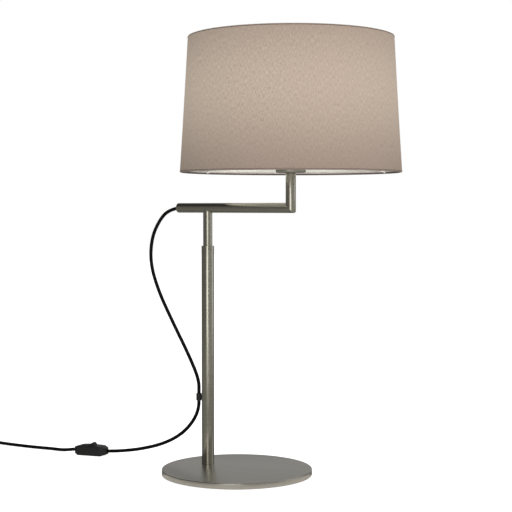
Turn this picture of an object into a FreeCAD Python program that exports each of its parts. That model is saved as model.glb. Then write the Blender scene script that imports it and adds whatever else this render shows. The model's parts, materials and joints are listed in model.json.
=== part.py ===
import FreeCAD, Part
import math
import os
import types

import Sketcher

# A swing-arm table lamp. The origin is the centre of the foot's underside on the table, +Z is up
# and +X runs along the arm, from the pole towards the shade. Millimetres throughout.

doc = FreeCAD.newDocument("SwingArmLamp")

# ---------------------------------------------------------------- driving dimensions
dimensions = [
    # the foot
    ("plateDiameter", 190, "round steel foot plate"),
    ("plateThickness", 7, "foot plate"),
    ("plateChamfer", 0.6, "broken top edge of the foot plate"),
    ("padDiameter", 182, "felt-faced pad under the plate"),
    ("padThickness", 1, "pad"),
    ("poleOffset", 47, "pole axis behind the plate's centre"),
    # the pole
    ("poleDiameter", 16, "outer tube"),
    ("poleWall", 1.5, "outer tube"),
    ("poleLength", 280.7, "outer tube, above the plate"),
    ("insertLength", 20, "threaded plug in the pole's foot"),
    ("boltDiameter", 8, "bolt that holds the pole to the plate"),
    ("boltHeadDiameter", 13, "its low head"),
    ("boltHeadHeight", 2.6, "its low head"),
    ("washerDiameter", 17, "washer under the bolt head"),
    ("washerThickness", 1.2, "washer under the bolt head"),
    ("boltReach", 16, "thread engaged in the pole's plug"),
    # the swivel
    ("swivelDiameter", 11.8, "inner tube that turns in the pole"),
    ("swivelWall", 1, "inner tube"),
    ("swivelDepth", 72, "inner tube inside the pole"),
    ("runningFit", 0.05, "radial play of a turning fit"),
    ("bushLength", 16, "bearing length of each bush"),
    ("webThickness", 4, "thrust web of the lower bush"),
    ("bushSkirt", 10, "lower bush below its web"),
    ("dogHeight", 6, "stop dog on the lower bush"),
    ("shoulderDiameter", 5, "shoulder of the pivot screw"),
    ("threadDiameter", 4, "thread of the pivot screw"),
    ("pivotHeadDiameter", 9, "head of the pivot screw"),
    ("pivotHeadHeight", 3.5, "head of the pivot screw"),
    ("springThickness", 0.9, "wave washer under the web"),
    ("plugLength", 12, "threaded plug in the swivel tube"),
    ("stopPinDiameter", 1.8, "pin that meets the dog"),
    ("stopPinRadius", 3.7, "stop pin from the pole axis"),
    # the arm and the stem
    ("armHeight", 337.2, "arm axis above the table"),
    ("armDiameter", 12.5, "arm and stem tube"),
    ("armWall", 1, "arm and stem tube"),
    ("armReach", 130, "pole axis to stem axis"),
    ("armTail", 47.2, "arm tube behind the pole axis"),
    ("capLength", 1.2, "flat end cap, outside the tube"),
    ("capEdge", 0.6, "its broken edge"),
    ("capSpigot", 8, "cap inside the arm tube"),
    ("glandLength", 12, "rubber cord grip behind the cap"),
    ("stemTop", 379.8, "top of the stem above the table"),
    ("nippleDiameter", 8, "hollow threaded nipple"),
    ("nippleBore", 5.6, "wire way of the nipple"),
    ("nippleLength", 20, "nipple"),
    ("nippleInStem", 12, "length of the nipple below the cup"),
    ("nutThickness", 2.4, "nipple nut inside the lampholder"),
    # the lampholder
    ("cupDiameter", 37, "metal cup"),
    ("cupHeight", 32, "metal cup"),
    ("cupWall", 1.2, "metal cup"),
    ("cupEdge", 2, "rounding of the cup's lower edge"),
    ("holderGap", 0.3, "cup to lampholder"),
    ("holderFloor", 3, "lampholder's base"),
    ("chamberHeight", 12, "wiring chamber"),
    ("holderWeb", 3, "insulator under the bulb"),
    ("flangeDiameter", 43, "shoulder that the shade's ring rests on"),
    ("flangeThickness", 2.5, "shoulder"),
    ("skirtDiameter", 39.2, "outside thread of the lampholder"),
    ("skirtHeight", 21.5, "outside thread of the lampholder"),
    ("socketBore", 28.8, "bore for the bulb's cap"),
    ("clampRingDiameter", 54, "ring nut that holds the shade"),
    ("clampRingHeight", 6.5, "ring nut"),
    # the bulb
    ("capDiameter", 26.4, "screw cap of the bulb"),
    ("capHeight", 27, "screw cap of the bulb"),
    ("globeDiameter", 60, "bulb"),
    ("bulbLength", 108, "bulb with its cap"),
    ("glassWall", 1, "bulb"),
    # the shade
    ("shadeBottomDiameter", 270, "outside, at the lower edge"),
    ("shadeTopDiameter", 250, "outside, at the upper edge"),
    ("shadeHeight", 164, "shade"),
    ("shadeDrop", 0.45, "lower edge of the shade above the stem's top"),
    ("fabricThickness", 0.6, "woven cover"),
    ("linerThickness", 0.5, "white laminate liner"),
    ("glueGap", 0.05, "between laminated skins"),
    ("ringWire", 3, "wire of the shade's rings"),
    ("strutWire", 2.6, "wire of the three struts"),
    ("fitterThickness", 1.7, "plate ring that the struts are welded to"),
    # the flex, its clip, its switch and its plug
    ("flexDiameter", 4.5, "round two-core flex"),
    ("coreDiameter", 3, "pair of cores without the flex's sheath"),
    ("clipOffset", 15, "flex axis behind the pole axis at the clip"),
    ("clipHeight", 9, "clip"),
    ("clipMiddle", 93.3, "clip above the table"),
    ("clipDiameter", 7, "outside of the clip's eye"),
    ("clipPegDiameter", 3, "peg through the pole's wall"),
    ("switchX", -239.3, "middle of the in-line switch"),
    ("switchY", -14.9, "middle of the in-line switch"),
    ("switchTurn", 17.5, "switch, turned about Z in degrees"),
    ("switchLength", 47, "in-line switch"),
    ("switchWidth", 20, "in-line switch"),
    ("switchHeight", 14, "in-line switch"),
    ("switchEndWidth", 8, "its narrow ends"),
    ("switchBevel", 7.1, "length of its tapered ends"),
    ("switchSplit", 6.5, "joint between its two shells, and the flex's axis"),
    ("switchWall", 2, "its shells"),
    ("rockerX", -2.2, "rocker axis along the switch from its middle"),
    ("rockerZ", 10, "rocker axis above the table"),
    ("rockerRadius", 9.73, "rounded ends of the rocker"),
    ("rockerWidth", 8.6, "rocker"),
    ("rockerValley", 4.2, "middle of the rocker's top above its axis"),
    ("rockerTilt", 14, "rocker from level, in degrees"),
    ("rockerPinDiameter", 2, "rocker pin"),
    ("coilX", -425.5, "centre of the spare flex's coil"),
    ("coilY", -71.6, "centre of the spare flex's coil"),
    ("coilInner", 16.3, "inside radius of the coil"),
    ("coilOuter", 35.4, "outside radius of the coil"),
    ("tieThickness", 0.6, "strap round the coil"),
    ("tieWidth", 8, "strap round the coil"),
    ("plugX", -427, "rear face of the plug"),
    ("plugY", -118, "rear face of the plug"),
    ("plugBodyLength", 36, "plug"),
    ("plugBodyWidth", 26, "plug"),
    ("plugBodyHeight", 13.7, "plug"),
    ("plugTail", 10, "narrow rear end of the plug"),
    ("pinDiameter", 4, "plug pin"),
    ("pinLength", 19, "plug pin"),
    ("pinSpacing", 19, "plug pins, centre to centre"),
]

sheet = doc.addObject("Spreadsheet::Sheet", "Sizes")
for row, (alias, number, note) in enumerate(dimensions, start=1):
    sheet.set(f"A{row}", alias)
    sheet.set(f"B{row}", str(number))
    sheet.setAlias(f"B{row}", alias)
    sheet.set(f"C{row}", note)
doc.recompute()


class Size:
    """A number together with the sheet expression that it comes from."""

    def __init__(self, number, text):
        self.number = float(number)
        self.text = text

    def __add__(self, other):
        other = asSize(other)
        return Size(self.number + other.number, f"({self.text} + {other.text})")

    def __sub__(self, other):
        other = asSize(other)
        return Size(self.number - other.number, f"({self.text} - {other.text})")

    def __mul__(self, other):
        other = asSize(other)
        return Size(self.number * other.number, f"({self.text} * {other.text})")

    def __truediv__(self, other):
        other = asSize(other)
        return Size(self.number / other.number, f"({self.text} / {other.text})")

    def __radd__(self, other):
        return asSize(other) + self

    def __rsub__(self, other):
        return asSize(other) - self

    def __rmul__(self, other):
        return asSize(other) * self

    def __neg__(self):
        return Size(-self.number, f"(0 - {self.text})")


def asSize(value):
    return value if isinstance(value, Size) else Size(value, f"({float(value)!r})")


s = types.SimpleNamespace(**{alias: Size(sheet.get(alias), "Sizes." + alias) for alias, _, _ in dimensions})

# ---------------------------------------------------------------- building blocks
upright = FreeCAD.Rotation()
alongX = FreeCAD.Rotation(FreeCAD.Vector(0, 1, 0), 90)
alongBackX = FreeCAD.Rotation(FreeCAD.Vector(0, 1, 0), -90)
alongY = FreeCAD.Rotation(FreeCAD.Vector(1, 0, 0), -90)
pieces = []


def bind(thing, name, value):
    thing.setExpression(name, asSize(value).text)


def place(thing, x=0, y=0, z=0, turned=upright):
    """Puts an object's own origin at x, y, z, each bound to the sheet."""
    spot = [asSize(value) for value in (x, y, z)]
    thing.Placement = FreeCAD.Placement(FreeCAD.Vector(*[value.number for value in spot]), turned)
    for axis, value in zip("xyz", spot):
        thing.setExpression("Placement.Base." + axis, value.text)
    return thing


def rod(name, radius, length, x=0, y=0, z=0, turned=upright):
    thing = doc.addObject("Part::Cylinder", name)
    bind(thing, "Radius", radius)
    bind(thing, "Height", length)
    return place(thing, x, y, z, turned)


def block(name, sides, x=0, y=0, z=0, turned=upright):
    """A box whose lowest corner, before it is turned, is at x, y, z."""
    thing = doc.addObject("Part::Box", name)
    for side, value in zip(("Length", "Width", "Height"), sides):
        bind(thing, side, value)
    return place(thing, x, y, z, turned)


def cut(name, base, tool):
    thing = doc.addObject("Part::Cut", name)
    thing.Base = base
    thing.Tool = tool
    return thing


def common(name, base, tool):
    thing = doc.addObject("Part::Common", name)
    thing.Base = base
    thing.Tool = tool
    return thing


def join(name, *things):
    thing = doc.addObject("Part::MultiFuse", name)
    thing.Shapes = list(things)
    return thing


def group(name, *things):
    """Separate solids that are one node."""
    thing = doc.addObject("Part::Compound", name)
    thing.Links = list(things)
    return thing


def cornersSketch(body, name, plane, corners):
    """A closed outline of straight sides whose corners are held at sheet values."""
    sketch = body.newObject("Sketcher::SketchObject", name)
    origin = next(f for f in body.Origin.OriginFeatures if f.Role == plane)
    sketch.AttachmentSupport = [(origin, "")]
    sketch.MapMode = "FlatFace"
    corners = [(asSize(across), asSize(up)) for across, up in corners]
    spots = [FreeCAD.Vector(across.number, up.number, 0) for across, up in corners]
    count = len(spots)
    sketch.addGeometry([Part.LineSegment(spots[i], spots[(i + 1) % count]) for i in range(count)], False)
    for i in range(count):
        sketch.addConstraint(Sketcher.Constraint("Coincident", i, 2, (i + 1) % count, 1))
    for i, corner in enumerate(corners):
        for kind, axis, value in (("DistanceX", -2, corner[0]), ("DistanceY", -1, corner[1])):
            if value.number == 0:
                sketch.addConstraint(Sketcher.Constraint("PointOnObject", i, 1, axis))
            else:
                held = sketch.addConstraint(Sketcher.Constraint(kind, -1, 1, i, 1, value.number))
                sketch.setExpression(f"Constraints[{held}]", value.text)
    return sketch


def turnedPart(name, corners, x=0, y=0, z=0, turned=upright):
    """A body of revolution about its own Z, from corners given as (radius, height)."""
    body = doc.addObject("PartDesign::Body", name)
    sketch = cornersSketch(body, name + "Outline", "XZ_Plane", corners)
    revolution = body.newObject("PartDesign::Revolution", name + "Turned")
    revolution.Profile = sketch
    revolution.ReferenceAxis = (sketch, ["V_Axis"])
    revolution.Angle = 360
    return place(body, x, y, z, turned)


def prism(name, plane, corners, length, x=0, y=0, z=0, turned=upright, middle=False):
    """A straight-sided outline on one of the body's planes, padded."""
    body = doc.addObject("PartDesign::Body", name)
    sketch = cornersSketch(body, name + "Outline", plane, corners)
    pad = body.newObject("PartDesign::Pad", name + "Pad")
    pad.Profile = sketch
    bind(pad, "Length", length)
    if middle:
        pad.SideType = "Symmetric"
    return place(body, x, y, z, turned)


def deliver(label, thing):
    thing.Label = label
    pieces.append(thing)
    return thing


def tubePath(points):
    """Straight runs with a tangent arc at each point, as large as its two runs allow."""
    spots = [FreeCAD.Vector(*point) for point in points]
    edges = []
    radii = []
    start = spots[0]
    for before, corner, after in zip(spots, spots[1:], spots[2:]):
        inward = (corner - before).normalize()
        outward = (after - corner).normalize()
        half = inward.getAngle(outward) / 2
        shorter = min((corner - before).Length, (after - corner).Length)
        setback = 0.45 * shorter
        radius = setback / math.tan(half)
        enter = corner - inward * setback
        leave = corner + outward * setback
        bisector = (outward - inward).normalize()
        crest = corner + bisector * (radius / math.cos(half) - radius)
        edges.append(Part.LineSegment(start, enter).toShape())
        edges.append(Part.Arc(enter, crest, leave).toShape())
        radii.append(round(radius, 1))
        start = leave
    edges.append(Part.LineSegment(start, spots[-1]).toShape())
    return Part.Wire(edges), radii


def roundTube(label, points, diameter):
    """A length of flex or of its cores along its route."""
    wire, radii = tubePath(points)
    radius = diameter / 2
    first = wire.Edges[0]
    tangent = first.tangentAt(first.FirstParameter)
    section = Part.Wire([Part.Circle(wire.Vertexes[0].Point, tangent, radius).toShape()])
    shape = wire.makePipeShell([section], True, False)
    expected = math.pi * radius**2 * wire.Length
    print(f"{label}: length {wire.Length:.1f}, radii {radii}, volume ratio {shape.Volume / expected:.4f}")
    thing = doc.addObject("Part::Feature", label + "Tube")
    thing.Shape = shape
    thing.Placement = FreeCAD.Placement()
    return deliver(label, thing)


# ---------------------------------------------------------------- the foot
plateBottom = s.padThickness
plateTop = s.padThickness + s.plateThickness
plateRadius = s.plateDiameter / 2
poleX = -s.poleOffset
boltRadius = s.boltDiameter / 2
washerRadius = s.washerDiameter / 2
headRelief = 0.2
recessDepth = s.boltHeadHeight + s.washerThickness + headRelief
recessTop = plateBottom + recessDepth
boltClearance = 0.2
recessClearance = 0.5
socketShare = 0.7

plateBlank = turnedPart(
    "plateBlank",
    [
        (0, plateBottom),
        (plateRadius, plateBottom),
        (plateRadius, plateTop - s.plateChamfer),
        (plateRadius - s.plateChamfer, plateTop),
        (0, plateTop),
    ],
)
plateHoles = join(
    "plateHoles",
    rod("plateBoltHole", boltRadius + boltClearance, plateTop, poleX),
    rod("plateRecess", washerRadius + recessClearance, recessTop, poleX),
)
deliver("base_plate", cut("plateCut", plateBlank, plateHoles))

padBlank = rod("padBlank", s.padDiameter / 2, s.padThickness)
padHole = rod("padHole", washerRadius + 2 * recessClearance, s.padThickness, poleX)
deliver("base_pad", cut("padCut", padBlank, padHole))

# ---------------------------------------------------------------- the pole and what holds it
poleRadius = s.poleDiameter / 2
poleBore = poleRadius - s.poleWall
poleTop = plateTop + s.poleLength

poleTube = cut(
    "poleTube",
    rod("poleBlank", poleRadius, s.poleLength, poleX, 0, plateTop),
    rod("poleBoreRod", poleBore, s.poleLength, poleX, 0, plateTop),
)
pegRadius = s.clipPegDiameter / 2
pegClearance = 0.1
overrun = 1
pegHole = rod(
    "pegHole", pegRadius + pegClearance, poleRadius, poleX - poleRadius - overrun, 0, s.clipMiddle, alongX
)
deliver("pole_tube", cut("poleCut", poleTube, pegHole))

deliver(
    "pole_insert",
    cut(
        "insertCut",
        rod("insertBlank", poleBore, s.insertLength, poleX, 0, plateTop),
        rod("insertThread", boltRadius, s.insertLength, poleX, 0, plateTop),
    ),
)
washerBottom = recessTop - s.washerThickness
headBottom = washerBottom - s.boltHeadHeight
deliver(
    "bolt_washer",
    cut(
        "washerCut",
        rod("washerBlank", washerRadius, s.washerThickness, poleX, 0, washerBottom),
        rod("washerHole", boltRadius + boltClearance, s.washerThickness, poleX, 0, washerBottom),
    ),
)
boltBody = turnedPart(
    "boltBody",
    [
        (0, headBottom),
        (s.boltHeadDiameter / 2, headBottom),
        (s.boltHeadDiameter / 2, washerBottom),
        (boltRadius, washerBottom),
        (boltRadius, plateTop + s.boltReach),
        (0, plateTop + s.boltReach),
    ],
    poleX,
)
boltSocket = rod("boltSocket", boltRadius / 2, s.boltHeadHeight * socketShare, poleX, 0, headBottom)
deliver("pole_bolt", cut("boltCut", boltBody, boltSocket))

# ---------------------------------------------------------------- the swivel
swivelRadius = s.swivelDiameter / 2
swivelBore = swivelRadius - s.swivelWall
swivelBottom = poleTop - s.swivelDepth
bearingRadius = swivelRadius + s.runningFit
shoulderRadius = s.shoulderDiameter / 2
threadRadius = s.threadDiameter / 2
stopPinRadius = s.stopPinDiameter / 2
webBottom = swivelBottom - s.webThickness
insertGap = 1.5
skirtWall = 1
dogClearance = 0.3
endPlay = 0.05
springClearance = 0.1
pinFootGap = 1
threadSpare = 2
stopPlane = stopPinRadius + s.runningFit
plugBottom = swivelBottom + s.dogHeight + insertGap

deliver(
    "upper_bush",
    turnedPart(
        "upperBush",
        [
            (bearingRadius, poleTop - s.bushLength),
            (poleBore, poleTop - s.bushLength),
            (poleBore, poleTop),
            (bearingRadius, poleTop),
        ],
        poleX,
    ),
)

skirtBottom = webBottom - s.bushSkirt
bushSleeve = turnedPart(
    "bushSleeve",
    [
        (poleBore, skirtBottom),
        (poleBore, swivelBottom + s.bushLength),
        (bearingRadius, swivelBottom + s.bushLength),
        (bearingRadius, swivelBottom),
        (shoulderRadius + s.runningFit, swivelBottom),
        (shoulderRadius + s.runningFit, webBottom),
        (poleBore - skirtWall, webBottom),
        (poleBore - skirtWall, skirtBottom),
    ],
    poleX,
)
dogOuter = swivelBore - dogClearance
dogRing = cut(
    "dogRing",
    rod("dogBlank", dogOuter, s.dogHeight, poleX, 0, swivelBottom),
    rod("dogHole", shoulderRadius + dogClearance, s.dogHeight, poleX, 0, swivelBottom),
)
dogAway = block(
    "dogAway", (2 * dogOuter, 2 * dogOuter, s.dogHeight), poleX - stopPlane, -dogOuter, swivelBottom
)
stopDog = cut("stopDog", dogRing, dogAway)
deliver("lower_bush", join("bushJoin", bushSleeve, stopDog))

plugBody = cut(
    "plugBody",
    rod("plugBlank", swivelBore, s.plugLength, poleX, 0, plugBottom),
    rod("plugThread", threadRadius, s.plugLength, poleX, 0, plugBottom),
)
pinSpot = poleX + s.stopPinRadius
pinHole = rod("pinHole", stopPinRadius, s.plugLength / 2, pinSpot, 0, plugBottom)
deliver("swivel_plug", cut("plugCut", plugBody, pinHole))
stopPinFoot = swivelBottom + pinFootGap
deliver(
    "stop_pin",
    rod("stopPin", stopPinRadius, plugBottom - stopPinFoot + s.plugLength / 2, pinSpot, 0, stopPinFoot),
)

springTop = webBottom - endPlay
springBottom = springTop - s.springThickness
headTop = springBottom - endPlay
deliver(
    "wave_washer",
    cut(
        "springCut",
        rod("springBlank", s.pivotHeadDiameter / 2, s.springThickness, poleX, 0, springBottom),
        rod("springHole", shoulderRadius + springClearance, s.springThickness, poleX, 0, springBottom),
    ),
)
pivotBody = turnedPart(
    "pivotBody",
    [
        (0, headTop - s.pivotHeadHeight),
        (s.pivotHeadDiameter / 2, headTop - s.pivotHeadHeight),
        (s.pivotHeadDiameter / 2, headTop),
        (shoulderRadius, headTop),
        (shoulderRadius, plugBottom),
        (threadRadius, plugBottom),
        (threadRadius, plugBottom + s.plugLength - threadSpare),
        (0, plugBottom + s.plugLength - threadSpare),
    ],
    poleX,
)
pivotSocket = rod(
    "pivotSocket",
    threadRadius * socketShare,
    s.pivotHeadHeight * socketShare,
    poleX,
    0,
    headTop - s.pivotHeadHeight,
)
deliver("pivot_screw", cut("pivotCut", pivotBody, pivotSocket))

# ---------------------------------------------------------------- the arm and the stem
armRadius = s.armDiameter / 2
armBore = armRadius - s.armWall
stemX = poleX + s.armReach
tubeBack = poleX - s.armTail
armLength = s.armReach + s.armTail + s.armDiameter
mitreSide = 60
mitreHalf = mitreSide / 2
mitreTurn = FreeCAD.Rotation(FreeCAD.Vector(0, 1, 0), -45)
slant = math.sqrt(0.5)


def tubeBlank(name, outer, bore, length, x, z, turned):
    return cut(
        name,
        rod(name + "Outside", outer, length, x, 0, z, turned),
        rod(name + "Inside", bore, length, x, 0, z, turned),
    )


swivelBlank = tubeBlank(
    "swivelBlank", swivelRadius, swivelBore, s.armHeight - swivelBottom, poleX, swivelBottom, upright
)
saddle = rod("saddle", armRadius, s.armTail * 2, poleX - s.armTail, 0, s.armHeight, alongX)
deliver("swivel_tube", cut("swivelCut", swivelBlank, saddle))

armBlank = tubeBlank("armBlank", armRadius, armBore, armLength, tubeBack, s.armHeight, alongX)
armMitre = block(
    "armMitre",
    (mitreSide, mitreSide, mitreSide),
    stemX + slant * mitreHalf,
    -mitreHalf,
    s.armHeight - slant * mitreHalf,
    mitreTurn,
)
deliver("arm_tube", cut("armCut", armBlank, armMitre))

stemStart = s.armHeight - s.armDiameter
stemBlank = tubeBlank("stemBlank", armRadius, armBore, s.stemTop - stemStart, stemX, stemStart, upright)
stemMitre = block(
    "stemMitre",
    (mitreSide, mitreSide, mitreSide),
    stemX + slant * (mitreHalf - mitreSide),
    -mitreHalf,
    s.armHeight - slant * (mitreHalf + mitreSide),
    mitreTurn,
)
deliver("stem_tube", cut("stemCut", stemBlank, stemMitre))

# The cap and the grip are turned about the arm's axis, with their own +Z towards the arm's back end.
flexRadius = s.flexDiameter / 2
flexClearance = 0.1
flexWay = flexRadius + flexClearance
deliver(
    "arm_end_cap",
    turnedPart(
        "endCap",
        [
            (flexWay, -s.capSpigot),
            (armBore, -s.capSpigot),
            (armBore, 0),
            (armRadius, 0),
            (armRadius, s.capLength - s.capEdge),
            (armRadius - s.capEdge, s.capLength),
            (flexWay, s.capLength),
        ],
        tubeBack,
        0,
        s.armHeight,
        alongBackX,
    ),
)
deliver(
    "flex_gland",
    turnedPart(
        "flexGland",
        [
            (flexWay, -s.capSpigot - s.glandLength),
            (armBore, -s.capSpigot - s.glandLength),
            (armBore, -s.capSpigot),
            (flexWay, -s.capSpigot),
        ],
        tubeBack,
        0,
        s.armHeight,
        alongBackX,
    ),
)

nippleRadius = s.nippleDiameter / 2
nippleBottom = s.stemTop - s.nippleInStem
stemInsert = cut(
    "stemInsert",
    rod("stemInsertBlank", armBore, s.nippleInStem, stemX, 0, nippleBottom),
    rod("stemInsertThread", nippleRadius, s.nippleInStem, stemX, 0, nippleBottom),
)
deliver("stem_insert", stemInsert)
deliver(
    "nipple",
    cut(
        "nippleCut",
        rod("nippleBlank", nippleRadius, s.nippleLength, stemX, 0, nippleBottom),
        rod("nippleWay", s.nippleBore / 2, s.nippleLength, stemX, 0, nippleBottom),
    ),
)

# ---------------------------------------------------------------- the lampholder
cupBottom = s.stemTop
cupRadius = s.cupDiameter / 2
cupInside = cupRadius - s.cupWall
cupTop = cupBottom + s.cupHeight
nippleClearance = 0.1
nippleHole = nippleRadius + nippleClearance
nutMargin = 2.5
holderRadius = cupInside - s.holderGap
holderBottom = cupBottom + s.cupWall
chamberBottom = holderBottom + s.holderFloor
chamberTop = chamberBottom + s.chamberHeight
socketFloor = chamberTop + s.holderWeb
flangeBottom = cupTop + s.holderGap
flangeTop = flangeBottom + s.flangeThickness
skirtTop = flangeTop + s.skirtHeight
skirtRadius = s.skirtDiameter / 2
socketRadius = s.socketBore / 2
contactRadius = 3

edgeSteps = 4
cupEdge = [
    (
        cupRadius - s.cupEdge * (1 - math.sin(math.pi / 2 * step / edgeSteps)),
        cupBottom + s.cupEdge * (1 - math.cos(math.pi / 2 * step / edgeSteps)),
    )
    for step in range(edgeSteps + 1)
]
deliver(
    "holder_cup",
    turnedPart(
        "holderCup",
        [(nippleHole, cupBottom)]
        + cupEdge
        + [
            (cupRadius, cupTop),
            (cupInside, cupTop),
            (cupInside, holderBottom),
            (nippleHole, holderBottom),
        ],
        stemX,
    ),
)
deliver(
    "lampholder_body",
    turnedPart(
        "lampholderBody",
        [
            (nippleHole, holderBottom),
            (holderRadius - s.cupEdge, holderBottom),
            (holderRadius, holderBottom + s.cupEdge),
            (holderRadius, flangeBottom),
            (s.flangeDiameter / 2, flangeBottom),
            (s.flangeDiameter / 2, flangeTop),
            (skirtRadius, flangeTop),
            (skirtRadius, skirtTop),
            (socketRadius, skirtTop),
            (socketRadius, socketFloor),
            (contactRadius, socketFloor),
            (contactRadius, chamberTop),
            (socketRadius, chamberTop),
            (socketRadius, chamberBottom),
            (nippleHole, chamberBottom),
        ],
        stemX,
    ),
)
deliver(
    "nipple_nut",
    cut(
        "nutCut",
        rod("nutBlank", nippleRadius + nutMargin, s.nutThickness, stemX, 0, chamberBottom),
        rod("nutThread", nippleRadius, s.nutThickness, stemX, 0, chamberBottom),
    ),
)
contactRise = 2
contactLip = 1
shellMargin = 5
shellLength = s.capHeight - shellMargin - 3
capBottom = socketFloor + contactRise
capRadius = s.capDiameter / 2
sleeveWall = 0.4
centreContact = turnedPart(
    "centreContact",
    [
        (0, chamberTop - contactRise),
        (contactRadius + contactLip, chamberTop - contactRise),
        (contactRadius + contactLip, chamberTop),
        (contactRadius, chamberTop),
        (contactRadius, capBottom),
        (0, capBottom),
    ],
    stemX,
)
screwShell = cut(
    "screwShell",
    rod("shellBlank", socketRadius, shellLength, stemX, 0, capBottom + shellMargin),
    rod("shellBore", socketRadius - sleeveWall, shellLength, stemX, 0, capBottom + shellMargin),
)
deliver("lampholder_contacts", group("contacts", centreContact, screwShell))

# ---------------------------------------------------------------- the bulb
capTop = capBottom + s.capHeight
globeRadius = s.globeDiameter / 2
globeMiddle = capBottom + s.bulbLength - globeRadius
neckRadius = capRadius - 0.2
capSeat = 3
capFloor = 7
capBore = neckRadius - s.glassWall - 0.5
glassGap = 0.05
deliver(
    "bulb_cap",
    turnedPart(
        "bulbCap",
        [
            (0, capBottom),
            (contactRadius + contactLip, capBottom),
            (capRadius * 0.6, capBottom + capSeat),
            (capRadius, capBottom + 2 * capSeat),
            (capRadius, capTop),
            (capBore, capTop),
            (capBore, capBottom + capFloor),
            (0, capBottom + capFloor),
        ],
        stemX,
    ),
)


def globeOutline(radius, neck, low):
    """The bulb's side from its neck to its crown: a flare, then a round."""
    start = 50
    steps = 8
    side = [(neck, low), (neck, skirtTop + 1)]
    for step in range(steps + 1):
        angle = math.radians(-start + (90 + start) * step / steps)
        across = radius * math.cos(angle)
        side.append((across if step < steps else asSize(0), globeMiddle + radius * math.sin(angle)))
    return side


globeFoot = capTop + glassGap
globeOutside = globeOutline(globeRadius, neckRadius, globeFoot)
globeInside = globeOutline(globeRadius - s.glassWall, neckRadius - s.glassWall, globeFoot)
deliver("bulb_globe", turnedPart("bulbGlobe", globeOutside + list(reversed(globeInside)), stemX))

# ---------------------------------------------------------------- the shade
shadeBottom = s.stemTop + s.shadeDrop
shadeTop = shadeBottom + s.shadeHeight
taper = (s.shadeBottomDiameter - s.shadeTopDiameter) / 2 / s.shadeHeight
wireRadius = s.ringWire / 2


def shadeRadius(height, inset):
    """The shade's radius at a height, less what lies outside it."""
    return s.shadeBottomDiameter / 2 - (height - shadeBottom) * taper - inset


def drum(name, outside, thickness, low, high):
    return turnedPart(
        name,
        [
            (shadeRadius(low, outside), low),
            (shadeRadius(high, outside), high),
            (shadeRadius(high, outside + thickness), high),
            (shadeRadius(low, outside + thickness), low),
        ],
        stemX,
    )


linerInset = s.fabricThickness + s.glueGap
linerShort = 0.2
ringGap = 0.15
ringLift = 0.1
insideInset = linerInset + s.linerThickness + s.glueGap
deliver("shade_fabric", drum("shadeFabric", asSize(0), s.fabricThickness, shadeBottom, shadeTop))
deliver(
    "shade_liner",
    drum("shadeLiner", linerInset, s.linerThickness, shadeBottom + linerShort, shadeTop - linerShort),
)


def wireRing(name, height):
    ring = doc.addObject("Part::Torus", name)
    bind(ring, "Radius1", shadeRadius(height, insideInset + wireRadius + ringGap))
    bind(ring, "Radius2", wireRadius)
    return place(ring, stemX, 0, height)


lowerRingHeight = shadeBottom + wireRadius + ringLift
upperRingHeight = shadeTop - wireRadius - ringLift
deliver("shade_top_ring", wireRing("topRing", upperRingHeight))

# Three struts run from the fitter ring, which sits on the lampholder's shoulder, down to the lower ring,
# where their ends are hollowed to fit it.
strutRadius = s.strutWire / 2
fitterRadius = s.clampRingDiameter / 2
fitterBottom = flangeTop
fitterTop = fitterBottom + s.fitterThickness
fitterClearance = 0.4
fitterRing = cut(
    "fitterRing",
    rod("fitterBlank", fitterRadius, s.fitterThickness, stemX, 0, fitterBottom),
    rod("fitterHole", skirtRadius + fitterClearance, s.fitterThickness, stemX, 0, fitterBottom),
)
lowerRing = deliver("shade_lower_ring", wireRing("lowerRing", lowerRingHeight))
strutInner = fitterRadius - 1
strutOuter = shadeRadius(lowerRingHeight, insideInset + wireRadius + ringGap)
strutHigh = fitterBottom + 0.1
strutRun = strutOuter.number - strutInner.number
strutFall = strutHigh.number - lowerRingHeight.number
struts = []
for index, angle in enumerate((-60, 60, 180)):
    slope = FreeCAD.Rotation(FreeCAD.Vector(0, 1, 0), 90 + math.degrees(math.atan2(strutFall, strutRun)))
    heading = FreeCAD.Rotation(FreeCAD.Vector(0, 0, 1), angle)
    struts.append(
        rod(
            f"strut{index}",
            strutRadius,
            math.hypot(strutRun, strutFall),
            stemX + strutInner * math.cos(math.radians(angle)),
            strutInner * math.sin(math.radians(angle)),
            strutHigh,
            heading.multiply(slope),
        )
    )
deliver("shade_spider", cut("spiderCut", join("spider", fitterRing, *struts), lowerRing))
deliver(
    "shade_clamp_ring",
    cut(
        "clampRing",
        rod("clampBlank", fitterRadius, s.clampRingHeight, stemX, 0, fitterTop),
        rod("clampThread", skirtRadius, s.clampRingHeight, stemX, 0, fitterTop),
    ),
)

# ---------------------------------------------------------------- the flex clip on the pole
clipX = poleX - s.clipOffset
clipBottom = s.clipMiddle - s.clipHeight / 2
eyeRadius = s.clipDiameter / 2
neckWidth = 3
neckHeight = 5
clipClearance = 0.05
barbLip = 0.6
barbLength = 1
neck = block(
    "clipNeck",
    (s.clipOffset, neckWidth, neckHeight),
    clipX,
    -neckWidth / 2,
    s.clipMiddle - neckHeight / 2,
)
clipCut = s.clipHeight + 2 * overrun
clipAway = join(
    "clipAway",
    rod("clipEyeHole", flexRadius + clipClearance, clipCut, clipX, 0, clipBottom - overrun),
    rod("clipPoleSide", poleRadius + clipClearance, clipCut, poleX, 0, clipBottom - overrun),
)
clipEye = join("clipEye", rod("clipEyeBlank", eyeRadius, s.clipHeight, clipX, 0, clipBottom), neck)
pegLength = s.poleWall + 2 * barbLip + barbLength
peg = rod("clipPeg", pegRadius, pegLength + barbLip, poleX - poleRadius - barbLip, 0, s.clipMiddle, alongX)
barb = rod("clipBarb", pegRadius + barbLip, barbLength, poleX - poleBore + barbLip, 0, s.clipMiddle, alongX)
deliver("flex_clip", join("clipJoin", cut("clipBody", clipEye, clipAway), peg, barb))

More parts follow.
